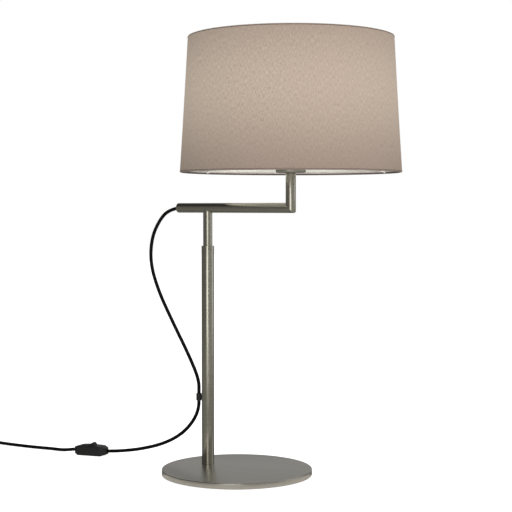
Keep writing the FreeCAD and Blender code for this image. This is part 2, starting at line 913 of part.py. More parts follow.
# ---------------------------------------------------------------- the flex
# The routes' points are chosen one by one. The upper one turns with the arm.
flexJoint = 98.0
exitX = (tubeBack - s.capLength).number
armZ = s.armHeight.number
upperRoute = [
    (exitX, 0, armZ),
    (-112, 0, 334.5),
    (-127, 0, 323),
    (-142, 0, 299),
    (-145, 0, 265),
    (-131, 0, 228),
    (-105, 0, 186),
    (-80, 0, 148),
    (-62, 0, 116),
    (-62, 0, flexJoint),
]
lowerRoute = [
    (-62, 0, flexJoint - 0.1),
    (-62, 0, 78.5),
    (-71, 0, 61),
    (-90, -1, 42),
    (-121, -2, 26),
    (-160, -4, 15),
    (-193, -4, 9),
    (-216.9, -7.8, 6.5),
]
floorRoute = [
    (-261.7, -22, 6.5),
    (-272, -25.4, 5),
    (-288, -24.4, 2.8),
    (-307, -23.4, 2.3),
    (-329, -29, 2.3),
    (-356, -33, 2.3),
    (-390, -35.8, 2.3),
    (-411, -37.3, 2.8),
]
tailRoute = [
    (-458.4, -88, 7.35),
    (-457.1, -100.5, 7.3),
    (-450.2, -111.15, 7.2),
    (-439.3, -117.4, 7),
    (-427, -118, 6.85),
]
stretches = {
    "flex_upper": upperRoute,
    "flex_lower": lowerRoute,
    "flex_floor": floorRoute,
    "flex_tail": tailRoute,
}
for label, route in stretches.items():
    roundTube(label, route, s.flexDiameter.number)

# The flex's sheath ends behind the cord grip. Its cores lie on the arm tube's floor, turn up the stem
# and end in the lampholder's wiring chamber.
sheathSpare = 5
sheathStart = tubeBack - s.capLength + 0.7
sheathEnd = tubeBack + s.capSpigot + s.glandLength + sheathSpare
deliver(
    "flex_inner_end",
    rod("flexInnerEnd", flexRadius, sheathEnd - sheathStart, sheathStart, 0, s.armHeight, alongX),
)
coresStart = sheathEnd.number
coresDrop = (armBore - s.coreDiameter / 2 - 0.4).number
stemAxis = stemX.number
roundTube(
    "inner_cores",
    [
        (coresStart, 0, armZ),
        (coresStart + 22, 0, armZ - 0.3),
        (coresStart + 62, 0, armZ - coresDrop),
        (stemAxis - 48, 0, armZ - coresDrop + 0.2),
        (stemAxis + 2, 0, armZ - coresDrop),
        (stemAxis + 0.2, 0, nippleBottom.number + 2.5),
        (stemAxis, 0, chamberBottom.number + 5),
    ],
    s.coreDiameter.number,
)

# ---------------------------------------------------------------- the coil of spare flex and its tie
turnRows = 2
coilHeight = turnRows * s.flexDiameter
tieGap = 0.05
tieInner = 0.3
tieMiddle = coilHeight + 2 * tieGap
deliver(
    "flex_coil",
    turnedPart(
        "flexCoil",
        [
            (s.coilInner, s.tieThickness),
            (s.coilOuter, s.tieThickness),
            (s.coilOuter, s.tieThickness + coilHeight),
            (s.coilInner, s.tieThickness + coilHeight),
        ],
        s.coilX,
        s.coilY,
    ),
)
tieOutside = block(
    "tieOutside",
    (s.coilOuter - s.coilInner + 2 * s.tieThickness + 0.2, s.tieWidth, tieMiddle + 2 * s.tieThickness),
    s.coilX + s.coilInner - s.tieThickness - 0.4,
    s.coilY - s.tieWidth / 2,
    0,
)
tieInside = turnedPart(
    "tieInside",
    [
        (s.coilInner - tieInner, s.tieThickness),
        (s.coilOuter + tieGap, s.tieThickness),
        (s.coilOuter + tieGap, s.tieThickness + tieMiddle),
        (s.coilInner - tieInner, s.tieThickness + tieMiddle),
    ],
    s.coilX,
    s.coilY,
)
deliver("coil_tie", cut("tieCut", tieOutside, tieInside))

# ---------------------------------------------------------------- the in-line switch
# Its pieces are built about the switch's middle, with X towards the lamp, and turned into place.
halfLength = s.switchLength / 2
halfWidth = s.switchWidth / 2
halfEnd = s.switchEndWidth / 2
shoulder = halfLength - s.switchBevel
endDrop = 3.2
endLift = 2.2
crownFront = 3
crownBack = -8
crownFall = 0.6
backFall = 1.2
edgeBevel = 1.2
edgeDrop = 3
edgeInset = 3.4


def switchShape(name):
    plan = prism(
        name + "Plan",
        "XY_Plane",
        [
            (-halfLength, -halfEnd),
            (-shoulder, -halfWidth),
            (shoulder, -halfWidth),
            (halfLength, -halfEnd),
            (halfLength, halfEnd),
            (shoulder, halfWidth),
            (-shoulder, halfWidth),
            (-halfLength, halfEnd),
        ],
        s.switchHeight,
    )
    side = prism(
        name + "Side",
        "XZ_Plane",
        [
            (-halfLength, endLift),
            (-shoulder, 0),
            (shoulder, 0),
            (halfLength, endLift),
            (halfLength, s.switchHeight - endDrop),
            (shoulder - crownFront, s.switchHeight - crownFall),
            (crownFront, s.switchHeight),
            (crownBack, s.switchHeight),
            (-shoulder, s.switchHeight - backFall),
            (-halfLength, s.switchHeight - endDrop),
        ],
        s.switchWidth,
        middle=True,
    )
    end = prism(
        name + "End",
        "YZ_Plane",
        [
            (-halfWidth, edgeBevel),
            (-halfWidth + edgeBevel, 0),
            (halfWidth - edgeBevel, 0),
            (halfWidth, edgeBevel),
            (halfWidth, s.switchHeight - edgeDrop),
            (halfWidth - 1, s.switchHeight - edgeBevel),
            (halfWidth - edgeInset, s.switchHeight),
            (-halfWidth + edgeInset, s.switchHeight),
            (-halfWidth + 1, s.switchHeight - edgeBevel),
            (-halfWidth, s.switchHeight - edgeDrop),
        ],
        s.switchLength,
        middle=True,
    )
    return common(name + "Outside", common(name + "Block", plan, side), end)


switchTurn = FreeCAD.Rotation(FreeCAD.Vector(0, 0, 1), s.switchTurn.number)
cavityBack = s.rockerX - s.rockerRadius - 0.6
cavityFront = shoulder - 4.4
cavityWidth = s.switchWidth - 2.5 * s.switchWall
screwX = shoulder + 1
screwY = 5.6
screwRadius = 1.1
screwHead = 2
windowGap = 0.25
rockerPinRadius = s.rockerPinDiameter / 2
screwTop = s.switchHeight - 4
screwSunk = 0.5
screwShort = 0.3
headClearance = 0.1


def switchHollow(name):
    """What is cut from either shell: the cavity, the flex's way in and the screw holes."""
    cavity = block(
        name + "Cavity",
        (cavityFront - cavityBack, cavityWidth, s.switchHeight - 2 * s.switchWall),
        cavityBack,
        -cavityWidth / 2,
        s.switchWall,
    )
    flexWays = rod(name + "FlexWay", flexWay, s.switchLength, -halfLength, 0, s.switchSplit, alongX)
    holes = []
    for index, side in enumerate((1, -1)):
        x, y = side * screwX, side * screwY
        holes.append(rod(f"{name}ScrewHole{index}", screwRadius, screwTop, x, y, 0))
        holes.append(rod(f"{name}ScrewHead{index}", screwHead + headClearance, s.switchWall, x, y, 0))
    return join(name + "Hollow", cavity, flexWays, *holes)


above = block(
    "aboveSplit",
    (s.switchLength, s.switchWidth, s.switchHeight),
    -halfLength,
    -halfWidth,
    s.switchSplit,
)
below = block("belowSplit", (s.switchLength, s.switchWidth, s.switchSplit), -halfLength, -halfWidth, 0)
lowerShell = cut("lowerShell", common("lowerHalf", switchShape("lowerShape"), below), switchHollow("lower"))
deliver("switch_lower", place(lowerShell, s.switchX, s.switchY, 0, switchTurn))

window = common(
    "window",
    rod(
        "windowRound",
        s.rockerRadius + windowGap,
        s.rockerWidth + 2 * windowGap,
        s.rockerX,
        -(s.rockerWidth / 2 + windowGap),
        s.rockerZ,
        alongY,
    ),
    block(
        "windowBlock",
        (s.switchLength, s.switchWidth, s.switchHeight),
        -halfLength,
        -halfWidth,
        s.switchSplit,
    ),
)
pinBearing = rod(
    "pinBearing",
    rockerPinRadius,
    cavityWidth + s.switchWall,
    s.rockerX,
    -(cavityWidth + s.switchWall) / 2,
    s.rockerZ,
    alongY,
)
coverAway = join("coverAway", switchHollow("cover"), window, pinBearing)
coverShell = cut("coverShell", common("coverHalf", switchShape("coverShape"), above), coverAway)
deliver("switch_cover", place(coverShell, s.switchX, s.switchY, 0, switchTurn))

screws = []
for index, side in enumerate((1, -1)):
    screws.append(
        turnedPart(
            f"switchScrew{index}",
            [
                (0, screwSunk),
                (screwHead, screwSunk),
                (screwHead, s.switchWall),
                (screwRadius, s.switchWall),
                (screwRadius, screwTop - screwShort),
                (0, screwTop - screwShort),
            ],
            side * screwX,
            side * screwY,
        )
    )
deliver("switch_screws", place(group("switchScrews", *screws), s.switchX, s.switchY, 0, switchTurn))

stripThickness = 0.8
stripLength = 6
stripWidth = 5
postHeight = 3
strips = [
    block(
        f"contactStrip{index}",
        (stripLength, stripWidth, stripThickness),
        x,
        -stripWidth / 2,
        s.switchWall,
    )
    for index, x in enumerate((cavityBack + 1, cavityFront - stripLength - 1))
]
posts = [
    block(
        f"contactPost{index}",
        (stripThickness, stripWidth, postHeight),
        x,
        -stripWidth / 2,
        s.switchWall + stripThickness,
    )
    for index, x in enumerate((cavityBack + stripWidth, cavityFront - stripWidth))
]
contactPair = group(
    "switchContacts", join("contactBack", strips[0], posts[0]), join("contactFront", strips[1], posts[1])
)
deliver("switch_contacts", place(contactPair, s.switchX, s.switchY, 0, switchTurn))

rockerPinLength = cavityWidth + s.switchWall - 0.2
rockerPin = rod(
    "rockerPinRod",
    rockerPinRadius,
    rockerPinLength,
    s.rockerX,
    -rockerPinLength / 2,
    s.rockerZ,
    alongY,
)
deliver(
    "rocker_pin", place(group("rockerPinPlaced", rockerPin), s.switchX, s.switchY, 0, switchTurn)
)

# The rocker rests with its lamp end up. Its outline is built level about its own axis.
valleySlope = 15
valleyRise = s.rockerRadius * math.tan(math.radians(valleySlope))
rockerTilt = FreeCAD.Rotation(FreeCAD.Vector(0, 1, 0), -s.rockerTilt.number)
rockerFoot = 1.6
rockerOutline = prism(
    "rockerOutline",
    "XZ_Plane",
    [
        (-s.rockerRadius, s.rockerValley + valleyRise),
        (0, s.rockerValley),
        (s.rockerRadius, s.rockerValley + valleyRise),
        (s.rockerRadius, -rockerFoot),
        (-s.rockerRadius, -rockerFoot),
    ],
    s.rockerWidth,
    middle=True,
)
rockerRound = rod("rockerRound", s.rockerRadius, s.rockerWidth, 0, -s.rockerWidth / 2, 0, alongY)
rockerBore = rod(
    "rockerBore", rockerPinRadius + s.runningFit, s.rockerWidth, 0, -s.rockerWidth / 2, 0, alongY
)
rockerLevel = cut("rockerLevel", common("rockerSolid", rockerOutline, rockerRound), rockerBore)
place(rockerLevel, s.rockerX, 0, s.rockerZ, rockerTilt)
deliver("switch_rocker", place(group("rockerPlaced", rockerLevel), s.switchX, s.switchY, 0, switchTurn))

# ---------------------------------------------------------------- the plug
# Built about its rear face, with X towards the pins, and moved into place.
plugHalf = s.plugBodyWidth / 2
plugMiddle = s.plugBodyHeight / 2
tailHalf = s.flexDiameter
tailFlare = 1
flankShare = 1.6
plugPlan = prism(
    "plugPlan",
    "XY_Plane",
    [
        (0, -tailHalf),
        (s.plugTail, -tailHalf - tailFlare),
        (s.plugTail * 2, -plugHalf),
        (s.plugBodyLength, -plugHalf),
        (s.plugBodyLength, plugHalf),
        (s.plugTail * 2, plugHalf),
        (s.plugTail, tailHalf + tailFlare),
        (0, tailHalf),
    ],
    s.plugBodyHeight,
)
plugSide = prism(
    "plugSide",
    "XZ_Plane",
    [
        (0, plugMiddle - tailHalf),
        (s.plugTail * flankShare, 0),
        (s.plugBodyLength, 0),
        (s.plugBodyLength, s.plugBodyHeight),
        (s.plugTail * flankShare, s.plugBodyHeight),
        (0, plugMiddle + tailHalf),
    ],
    s.plugBodyWidth,
    middle=True,
)
plugShell = common("plugShell", plugPlan, plugSide)
pinRadius = s.pinDiameter / 2
pinRoot = 8
rootRadius = pinRadius + 0.6
pinStart = s.plugBodyLength - pinRoot


def pinRod(name, side, radius, start, length):
    return rod(name, radius, length, start, side * s.pinSpacing / 2, plugMiddle, alongX)


roots = [pinRod(f"pinRoot{index}", side, rootRadius, pinStart, pinRoot) for index, side in enumerate((1, -1))]
deliver("plug_body", place(cut("plugCutOut", plugShell, join("pinSockets", *roots)), s.plugX, s.plugY, 0))
pins = []
for root, side in zip(roots, (1, -1)):
    free = pinRod(root.Name + "Free", side, pinRadius, s.plugBodyLength, s.pinLength)
    pins.append(join(root.Name + "Whole", root, free))
deliver("plug_pins", place(group("plugPins", *pins), s.plugX, s.plugY, 0))

# ---------------------------------------------------------------- check and write
doc.recompute()
faults = []
for thing in doc.Objects:
    states = [state for state in thing.State if state in ("Invalid", "Error")]
    if states:
        faults.append(f"{thing.Name} is {states}")
for thing in pieces:
    shape = thing.Shape
    if shape.isNull() or not shape.isValid() or not shape.Solids:
        faults.append(f"{thing.Label} has no valid solid")
if faults:
    raise RuntimeError("; ".join(faults))

os.makedirs("parts", exist_ok=True)
for thing in pieces:
    thing.Shape.exportStep(f"parts/{thing.Label}.step")
    box = thing.Shape.BoundBox
    print(
        f"{thing.Label}: {len(thing.Shape.Solids)} solid(s), {thing.Shape.Volume:.0f} mm3, "
        f"x {box.XMin:.1f}..{box.XMax:.1f} y {box.YMin:.1f}..{box.YMax:.1f} z {box.ZMin:.2f}..{box.ZMax:.2f}"
    )
print(f"{len(pieces)} sub-parts written")
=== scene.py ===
import json
import math

import bpy
import bmesh
from mathutils import Matrix, Vector
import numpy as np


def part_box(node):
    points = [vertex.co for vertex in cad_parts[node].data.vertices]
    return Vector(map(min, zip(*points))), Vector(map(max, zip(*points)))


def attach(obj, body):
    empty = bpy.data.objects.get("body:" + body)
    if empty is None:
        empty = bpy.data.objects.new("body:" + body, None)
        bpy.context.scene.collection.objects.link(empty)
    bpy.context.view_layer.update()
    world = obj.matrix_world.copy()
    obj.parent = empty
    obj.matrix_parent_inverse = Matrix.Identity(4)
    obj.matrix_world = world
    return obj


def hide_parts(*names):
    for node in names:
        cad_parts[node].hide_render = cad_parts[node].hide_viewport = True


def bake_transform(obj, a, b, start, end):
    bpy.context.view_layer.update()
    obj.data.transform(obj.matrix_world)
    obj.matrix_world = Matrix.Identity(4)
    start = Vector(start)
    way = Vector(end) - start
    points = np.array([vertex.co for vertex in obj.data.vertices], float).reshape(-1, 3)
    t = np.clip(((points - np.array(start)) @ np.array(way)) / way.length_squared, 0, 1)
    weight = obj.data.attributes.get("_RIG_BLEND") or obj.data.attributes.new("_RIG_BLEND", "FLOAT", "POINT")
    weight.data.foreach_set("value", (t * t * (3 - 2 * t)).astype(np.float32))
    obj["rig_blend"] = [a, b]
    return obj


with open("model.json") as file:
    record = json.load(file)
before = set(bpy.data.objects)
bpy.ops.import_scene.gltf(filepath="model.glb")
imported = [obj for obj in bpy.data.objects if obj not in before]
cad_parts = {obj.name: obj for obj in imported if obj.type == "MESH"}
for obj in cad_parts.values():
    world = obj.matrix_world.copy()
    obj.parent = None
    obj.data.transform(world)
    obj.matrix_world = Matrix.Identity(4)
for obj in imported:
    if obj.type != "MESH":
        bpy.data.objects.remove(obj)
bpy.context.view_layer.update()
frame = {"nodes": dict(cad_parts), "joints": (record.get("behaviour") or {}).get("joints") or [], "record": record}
scene = bpy.context.scene
mm = 0.001
print("frame loaded:", len(frame["nodes"]), "nodes")

# places and names read from the frame
record = frame["record"]
bodyOf = {node: body for body, nodes in record["behaviour"]["bodies"].items() for node in nodes}
slotOf = {part["node"]: part["material_slot"] for part in record["subparts"]}
joints = {joint["name"]: joint for joint in frame["joints"]}
poleAxis = Vector(joints["arm_swivel"]["pos_m"])
poleAxis.z = 0
armLow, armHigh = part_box("arm_tube")
armRadius = (armHigh.y - armLow.y) / 2
armHeight = (armHigh.z + armLow.z) / 2
stemLow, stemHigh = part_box("stem_tube")
stemAxis = Vector(((stemLow.x + stemHigh.x) / 2, 0, 0))
upward = Vector((0, 0, 1))


def placed(name, data):
    thing = bpy.data.objects.new(name, data)
    scene.collection.objects.link(thing)
    return thing


def camel(name):
    first, *rest = name.split("_")
    return first + "".join(word.title() for word in rest)


# camera
view = {
    "place": (1.0114, -1.3113, 0.33845), "turn": 36.81, "droop": 2.137, "lens": 92.54, "sensor": 36,
    "nearest": 0.05,
}
cameraData = bpy.data.cameras.new("camera")
cameraData.lens = view["lens"]
cameraData.sensor_width = view["sensor"]
cameraData.clip_start = view["nearest"]
camera = placed("camera", cameraData)
camera.location = view["place"]
camera.rotation_euler = (math.radians(90 - view["droop"]), 0, math.radians(view["turn"]))
scene.camera = camera
scene.view_settings.view_transform = "Standard"


class Socket:
    # wraps an output; sums and products of these add Math nodes
    def __init__(self, finish, out):
        self.finish = finish
        self.out = out

    def maths(self, operation, first, second=0.0):
        return self.finish.node("ShaderNodeMath", {"operation": operation}, {0: first, 1: second})

    def __add__(self, other):
        return self.maths("ADD", self, other)

    def __radd__(self, other):
        return self.maths("ADD", other, self)

    def __sub__(self, other):
        return self.maths("SUBTRACT", self, other)

    def __rsub__(self, other):
        return self.maths("SUBTRACT", other, self)

    def __mul__(self, other):
        return self.maths("MULTIPLY", self, other)

    def __rmul__(self, other):
        return self.maths("MULTIPLY", other, self)

    def __pow__(self, other):
        return self.maths("POWER", self, other)

    def wave(self):
        return self.maths("SINE", self)


class Finish:
    # one material, or the world: its shader, and one method for every node
    def __init__(self, name, kind="materials", shader="Principled BSDF", **constants):
        self.data = getattr(bpy.data, kind).new(name)
        self.data.use_nodes = True
        self.nodes = self.data.node_tree.nodes
        self.links = self.data.node_tree.links
        self.shader = self.nodes[shader]
        self.feed(constants)

    def node(self, kind, settings=None, inputs=None, output=0):
        made = self.nodes.new(kind)
        for name, value in (settings or {}).items():
            setattr(made, name, value)
        self.feed(inputs or {}, made)
        return Socket(self, made.outputs[output])

    def feed(self, values, node=None):
        sockets = (node or self.shader).inputs
        for name, value in values.items():
            if isinstance(value, Socket):
                self.links.new(value.out, sockets[name])
            else:
                sockets[name].default_value = value

    def place(self, stretch=(1, 1, 1), kind="Object"):
        # the piece's own coordinates in metres, or its UV map's, stretched
        coordinates = self.node("ShaderNodeTexCoord", output=kind)
        return self.node("ShaderNodeVectorMath", {"operation": "MULTIPLY"}, {0: coordinates, 1: stretch})

    def parts(self, vector):
        return [self.node("ShaderNodeSeparateXYZ", {}, {0: vector}, output) for output in range(3)]

    def noise(self, stretch, kind="Object", detail=3, roughness=0.55):
        inputs = {"Vector": self.place(stretch, kind), "Scale": 1, "Detail": detail, "Roughness": roughness}
        return self.node("ShaderNodeTexNoise", {}, inputs)

    def ramp(self, factor, low, high):
        # 0 below low, 1 above high, smooth between
        inputs = {"Value": factor, "From Min": low, "From Max": high}
        return self.node("ShaderNodeMapRange", {"interpolation_type": "SMOOTHSTEP"}, inputs)

    def blend(self, factor, first, second):
        # two colours
        pair = [(*colour, 1) if isinstance(colour, tuple) else colour for colour in (first, second)]
        settings = {"data_type": "RGBA", "clamp_factor": True}
        return self.node("ShaderNodeMix", settings, {0: factor, 6: pair[0], 7: pair[1]}, output=2)

    def wear(self):
        # up to 1 on the edges that handling polishes
        return self.node("ShaderNodeAttribute", {"attribute_name": "wear"}, output="Fac")

    def bump(self, height, depth):
        return self.node("ShaderNodeBump", {}, {"Height": height, "Distance": depth, "Strength": 1.0})


finishes = {}


def satinNickel(name, grain, look):
    # brushed: fine lines along the brushing, broader ones, a faint cloud, polished edges
    made = Finish(name, Metallic=1.0)
    lines = made.noise(grain, detail=5, roughness=0.7)
    bands = made.noise(tuple(value * brushing["broad"] for value in grain), detail=2)
    cloud = made.noise(brushing["cloudSize"], detail=4)
    wear = made.wear()
    lineShare, bandShare, cloudShare = brushing["shares"]
    tone = lines * lineShare + bands * bandShare + cloud * cloudShare
    metal = made.blend((tone - brushing["darkest"]) * brushing["contrast"], look["dark"], look["light"])
    uneven = (lines - 0.5) * brushing["lineRough"] + (cloud - 0.5) * brushing["cloudRough"]
    made.feed({
        "Base Color": made.blend(wear * brushing["rubbed"], metal, look["edge"]),
        "Roughness": look["roughness"] + uneven - wear * brushing["polished"],
        "Normal": made.bump(lines + bands * 0.5, look["depth"]),
    })
    finishes[name] = made.data


brushing = {
    "broad": 0.22, "cloudSize": (14, 14, 14), "darkest": 0.3, "contrast": 2.2,
    "lineRough": 0.14, "cloudRough": 0.08, "rubbed": 0.6, "polished": 0.08, "shares": (0.5, 0.3, 0.2),
}
nickel = {
    "dark": (0.43, 0.417, 0.352), "light": (0.62, 0.603, 0.515), "edge": (0.74, 0.72, 0.64),
    "roughness": 0.22, "depth": 0.00002,
}
plateNickel = {
    "dark": (0.43, 0.418, 0.38), "light": (0.62, 0.602, 0.555), "edge": (0.74, 0.72, 0.67),
    "roughness": 0.3, "depth": 0.000012,
}
satinNickel("nickelPole", (25, 25, 2600), nickel)
satinNickel("nickelArm", (2600, 25, 25), nickel)
satinNickel("nickelPlate", (12, 1400, 1400), plateNickel)
satinNickel("nickelCup", (25, 25, 2600), {**nickel, "light": (0.62, 0.585, 0.515), "roughness": 0.4})


def wovenTaupe(name, look):
    # plain weave with slubs, from the UV map, which is in metres; painted light stands for the light from behind,
    # dimmer through thick threads
    made = Finish(name, **{
        "Sheen Weight": 0.02, "Sheen Roughness": 0.5, "Specular IOR Level": 0.15,
        "Emission Strength": look["glow"],
    })
    wander = made.noise(yarn["wanderSize"], "UV", 2) * yarn["wander"]
    along, across = [
        (part * (2 * math.pi / look["pitch"]) + wander).wave()
        for part in made.parts(made.place(kind="UV"))[:2]
    ]
    weave = along * across * 0.5 + 0.5
    slubUp = made.noise(yarn["up"], "UV", 4, yarn["rough"])
    slubAcross = made.noise(yarn["across"], "UV", 4, yarn["rough"])
    knots = made.ramp(made.noise(yarn["knotSize"], "UV", 2), *yarn["knots"])
    patch = made.noise(yarn["patchSize"], "UV", 3)
    upShare, acrossShare, weaveShare = yarn["shares"]
    tone = slubUp * upShare + slubAcross * acrossShare + weave * weaveShare
    threads = made.ramp(tone, *yarn["tones"])
    cloth = made.blend(threads, look["dark"], look["light"])
    cloth = made.blend(knots * yarn["faint"], cloth, look["knot"])
    made.feed({
        "Base Color": made.blend(patch * yarn["faint"], cloth, look["light"]),
        "Roughness": yarn["matt"] + slubUp * yarn["uneven"],
        "Normal": made.bump(weave * 0.5 + slubUp + slubAcross * 0.8, look["depth"]),
    })
    if look["glow"]:
        # painted light: an emission standing for the bulb's light through the cloth, falling off above and below
        # the bulb
        height = made.parts(made.place())[2] - glow["height"]
        spread = (height * height * (1 / glow["reach"] ** 2) + 1) ** -1.5
        through = made.blend(threads, look["thin"], look["thick"])
        made.feed({"Emission Color": made.blend(spread, (0.0, 0.0, 0.0), through)})
    finishes[name] = made.data


yarn = {
    "wanderSize": (60, 60, 60), "wander": 3.0, "up": (1150, 225, 1), "across": (270, 1150, 1), "rough": 0.62,
    "knotSize": (420, 300, 1), "knots": (0.62, 0.78), "patchSize": (9, 9, 1), "tones": (0.34, 0.66),
    "shares": (0.62, 0.28, 0.1), "faint": 0.25, "matt": 0.8, "uneven": 0.14,
}
# height and reach of the painted light on the cover, which is brightest level with the bulb
glow = {"height": 0.481, "reach": 0.125}  # metres
wovenTaupe("taupeWeave", {
    "dark": (0.085, 0.060, 0.050), "light": (0.13, 0.093, 0.080), "knot": (0.17, 0.13, 0.115),
    "thin": (0.492, 0.419, 0.335), "thick": (0.233, 0.196, 0.155),
    "pitch": 0.0006, "depth": 0.00016, "glow": 1.0,
})
wovenTaupe("taupeTape", {
    "dark": (0.085, 0.063, 0.055), "light": (0.125, 0.094, 0.082), "knot": (0.15, 0.12, 0.1),
    "pitch": 0.0005, "depth": 0.0001, "glow": 0,
})


def speckled(name, dark, light, size, roughness, depth, spread=0.1, **constants):
    # a moulded, coated or felted surface with a fine grain, a broad, faint change of tone and rubbed edges
    made = Finish(name, **constants)
    grain = made.noise((size, size, size), detail=3)
    cloud = made.noise((size / broader, size / broader, size / broader), detail=3)
    wear = made.wear()
    made.feed({
        "Base Color": made.blend(grain * 0.55 + cloud * 0.35 + wear * 0.2, dark, light),
        "Roughness": roughness + (grain - 0.5) * spread + (cloud - 0.5) * spread - wear * spread * 0.6,
        "Normal": made.bump(grain, depth),
    })
    finishes[name] = made.data


broader = 40  # how many grains wide the change of tone is
matt = {"Specular IOR Level": 0.3}
speckled("blackFlex", (0.002, 0.002, 0.002), (0.006, 0.006, 0.006), 900, 0.55, 0.00002, **{
    "Specular IOR Level": 0.1,
})
speckled("blackMoulding", (0.008, 0.008, 0.009), (0.018, 0.018, 0.018), 3200, 0.46, 0.00003, **matt)
speckled("blackNylon", (0.008, 0.008, 0.008), (0.018, 0.018, 0.018), 2200, 0.5, 0.00002, **matt)
speckled("blackRubber", (0.012, 0.012, 0.012), (0.022, 0.022, 0.022), 1500, 0.65, 0.00002, **matt)
speckled("blackFelt", (0.012, 0.012, 0.012), (0.05, 0.05, 0.05), 1800, 0.92, 0.0003, **{"Sheen Weight": 0.3})
speckled("whiteLaminate", (0.68, 0.655, 0.61), (0.77, 0.745, 0.70), 700, 0.6, 0.00002)
speckled("whiteWire", (0.6, 0.59, 0.56), (0.7, 0.69, 0.66), 1100, 0.34, 0.00002)
speckled("acetal", (0.70, 0.70, 0.66), (0.80, 0.80, 0.77), 1500, 0.45, 0.00001)
speckled("coreInsulation", (0.10, 0.045, 0.02), (0.16, 0.08, 0.04), 1200, 0.5, 0.00001)
speckled("opalGlass", (0.66, 0.66, 0.64), (0.72, 0.72, 0.7), 300, 0.22, 0.000004, 0.04, **{
    "Coat Weight": 0.6, "Coat Roughness": 0.08,
    "Emission Color": (1.0, 0.92, 0.8, 1), "Emission Strength": 0.55,
})
speckled("zincSteel", (0.42, 0.42, 0.43), (0.58, 0.58, 0.58), 1600, 0.34, 0.00001, Metallic=1.0)
speckled("platedBrass", (0.52, 0.45, 0.30), (0.68, 0.60, 0.42), 1500, 0.26, 0.000006, Metallic=1.0)
speckled("brightCap", (0.60, 0.60, 0.61), (0.74, 0.74, 0.75), 1300, 0.24, 0.000008, Metallic=1.0)
print("finishes made:", len(finishes))


def newPiece(name, mesh, finish, replaces=(), body=None, slot=None, sharp=32):
    # a piece that stands for CAD nodes, or one of its own that rides on a body
    mesh.name = name
    for polygon in mesh.polygons:
        polygon.use_smooth = True
    mesh.set_sharp_from_angle(angle=math.radians(sharp))
    piece = placed(name, mesh)
    mesh.materials.clear()
    mesh.materials.append(finishes[finish])
    if replaces:
        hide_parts(*replaces)
        body, slot = bodyOf[replaces[0]], slotOf[replaces[0]]
    if body:
        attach(piece, body)
    return piece


meshing = {
    "merge": 1e-7, "mergeCad": 2e-6,  # metres
    "filletShare": 0.48,  # the most of a side that one fillet takes
    "bevelWear": 0.7, "order": 3, "resolution": 12,
}
past = 1  # millimetres that a cutter or a blank reaches past what is cut


def meshOf(made, name):
    mesh = bpy.data.meshes.new(name)
    made.to_mesh(mesh)
    made.free()
    return mesh


def meshFrom(build):
    made = bmesh.new()
    made.loops.layers.uv.new("UVMap")
    made.verts.layers.float.new("wear")
    build(made, made.loops.layers.uv[0], made.verts.layers.float["wear"])
    bmesh.ops.remove_doubles(made, verts=made.verts, dist=meshing["merge"])
    bmesh.ops.recalc_face_normals(made, faces=made.faces)
    return meshOf(made, "piece")


def polar(angle, reach=1.0):
    return reach * math.cos(angle), reach * math.sin(angle)


def rounded(corners, steps=4):
    # (across, up, fillet) corners in millimetres give (across, up, wear) points in metres
    outline = []
    for i, corner in enumerate(corners):
        here = Vector(corner[:2])
        fillet = corner[2] if len(corner) > 2 else 0
        if not fillet:
            outline.append((here.x * mm, here.y * mm, 0.0))
            continue
        before = Vector(corners[i - 1][:2]) - here
        after = Vector(corners[(i + 1) % len(corners)][:2]) - here
        half = before.angle(after) / 2
        back = min(fillet / math.tan(half), min(before.length, after.length) * meshing["filletShare"])
        radius = back * math.tan(half)
        bisector = (before.normalized() + after.normalized()).normalized()
        middle = here + bisector * (radius / math.sin(half))
        first = here + before.normalized() * back - middle
        last = here + after.normalized() * back - middle
        sweep = math.pi - 2 * half
        for step in range(steps + 1):
            share = step / steps
            spoke = first * math.sin((1 - share) * sweep) + last * math.sin(share * sweep)
            spot = middle + spoke / math.sin(sweep)
            outline.append((spot.x * mm, spot.y * mm, math.sin(math.pi * share)))
    return outline


def band(inner, outer, low, high, fillets=(0, 0, 0, 0)):
    # the corners of a ring's or disc's section, from its inside at the bottom round to its inside at the top
    spots = ((inner, low), (outer, low), (outer, high), (inner, high))
    return [(*spot, fillet) for spot, fillet in zip(spots, fillets)]


def revolve(outline, segments=96, change=None, start=0.0, closed=True):
    # an outline of (radius, height, wear) turned about Z; change may move each point
    def build(made, uv, wear):
        count = len(outline)
        lengths = [0.0]
        for first, second in zip(outline, outline[1:] + outline[:1]):
            lengths.append(lengths[-1] + math.hypot(second[0] - first[0], second[1] - first[1]))
        wide = max(point[0] for point in outline)
        rings = []
        for index in range(segments):
            angle = start + 2 * math.pi * index / segments
            ring = []
            for radius, height, worn in outline:
                spot = Vector((*polar(angle, radius), height))
                vertex = made.verts.new(change(spot, angle) if change else spot)
                vertex[wear] = worn
                ring.append(vertex)
            rings.append(ring)
        for index in range(segments):
            ring, following = rings[index], rings[(index + 1) % segments]
            for k in range(count if closed else count - 1):
                after = (k + 1) % count
                face = made.faces.new((ring[k], following[k], following[after], ring[after]))
                corners = ((index, k), (index + 1, k), (index + 1, k + 1), (index, k + 1))
                for loop, (turn, along) in zip(face.loops, corners):
                    loop[uv].uv = (2 * math.pi * turn / segments * wide, lengths[along])

    return meshFrom(build)


def moved(mesh, matrix):
    mesh.transform(matrix)
    return mesh


def widened(spot, extra):
    # a point moved away from Z, by metres
    factor = 1 + extra / math.hypot(spot.x, spot.y)
    return Vector((spot.x * factor, spot.y * factor, spot.z))


def onPole(mesh):
    return moved(mesh, Matrix.Translation(poleAxis))


def onStem(mesh):
    return moved(mesh, Matrix.Translation(stemAxis))


def joined(*meshes):
    made = bmesh.new()
    for mesh in meshes:
        made.from_mesh(mesh)
    return meshOf(made, "joined")


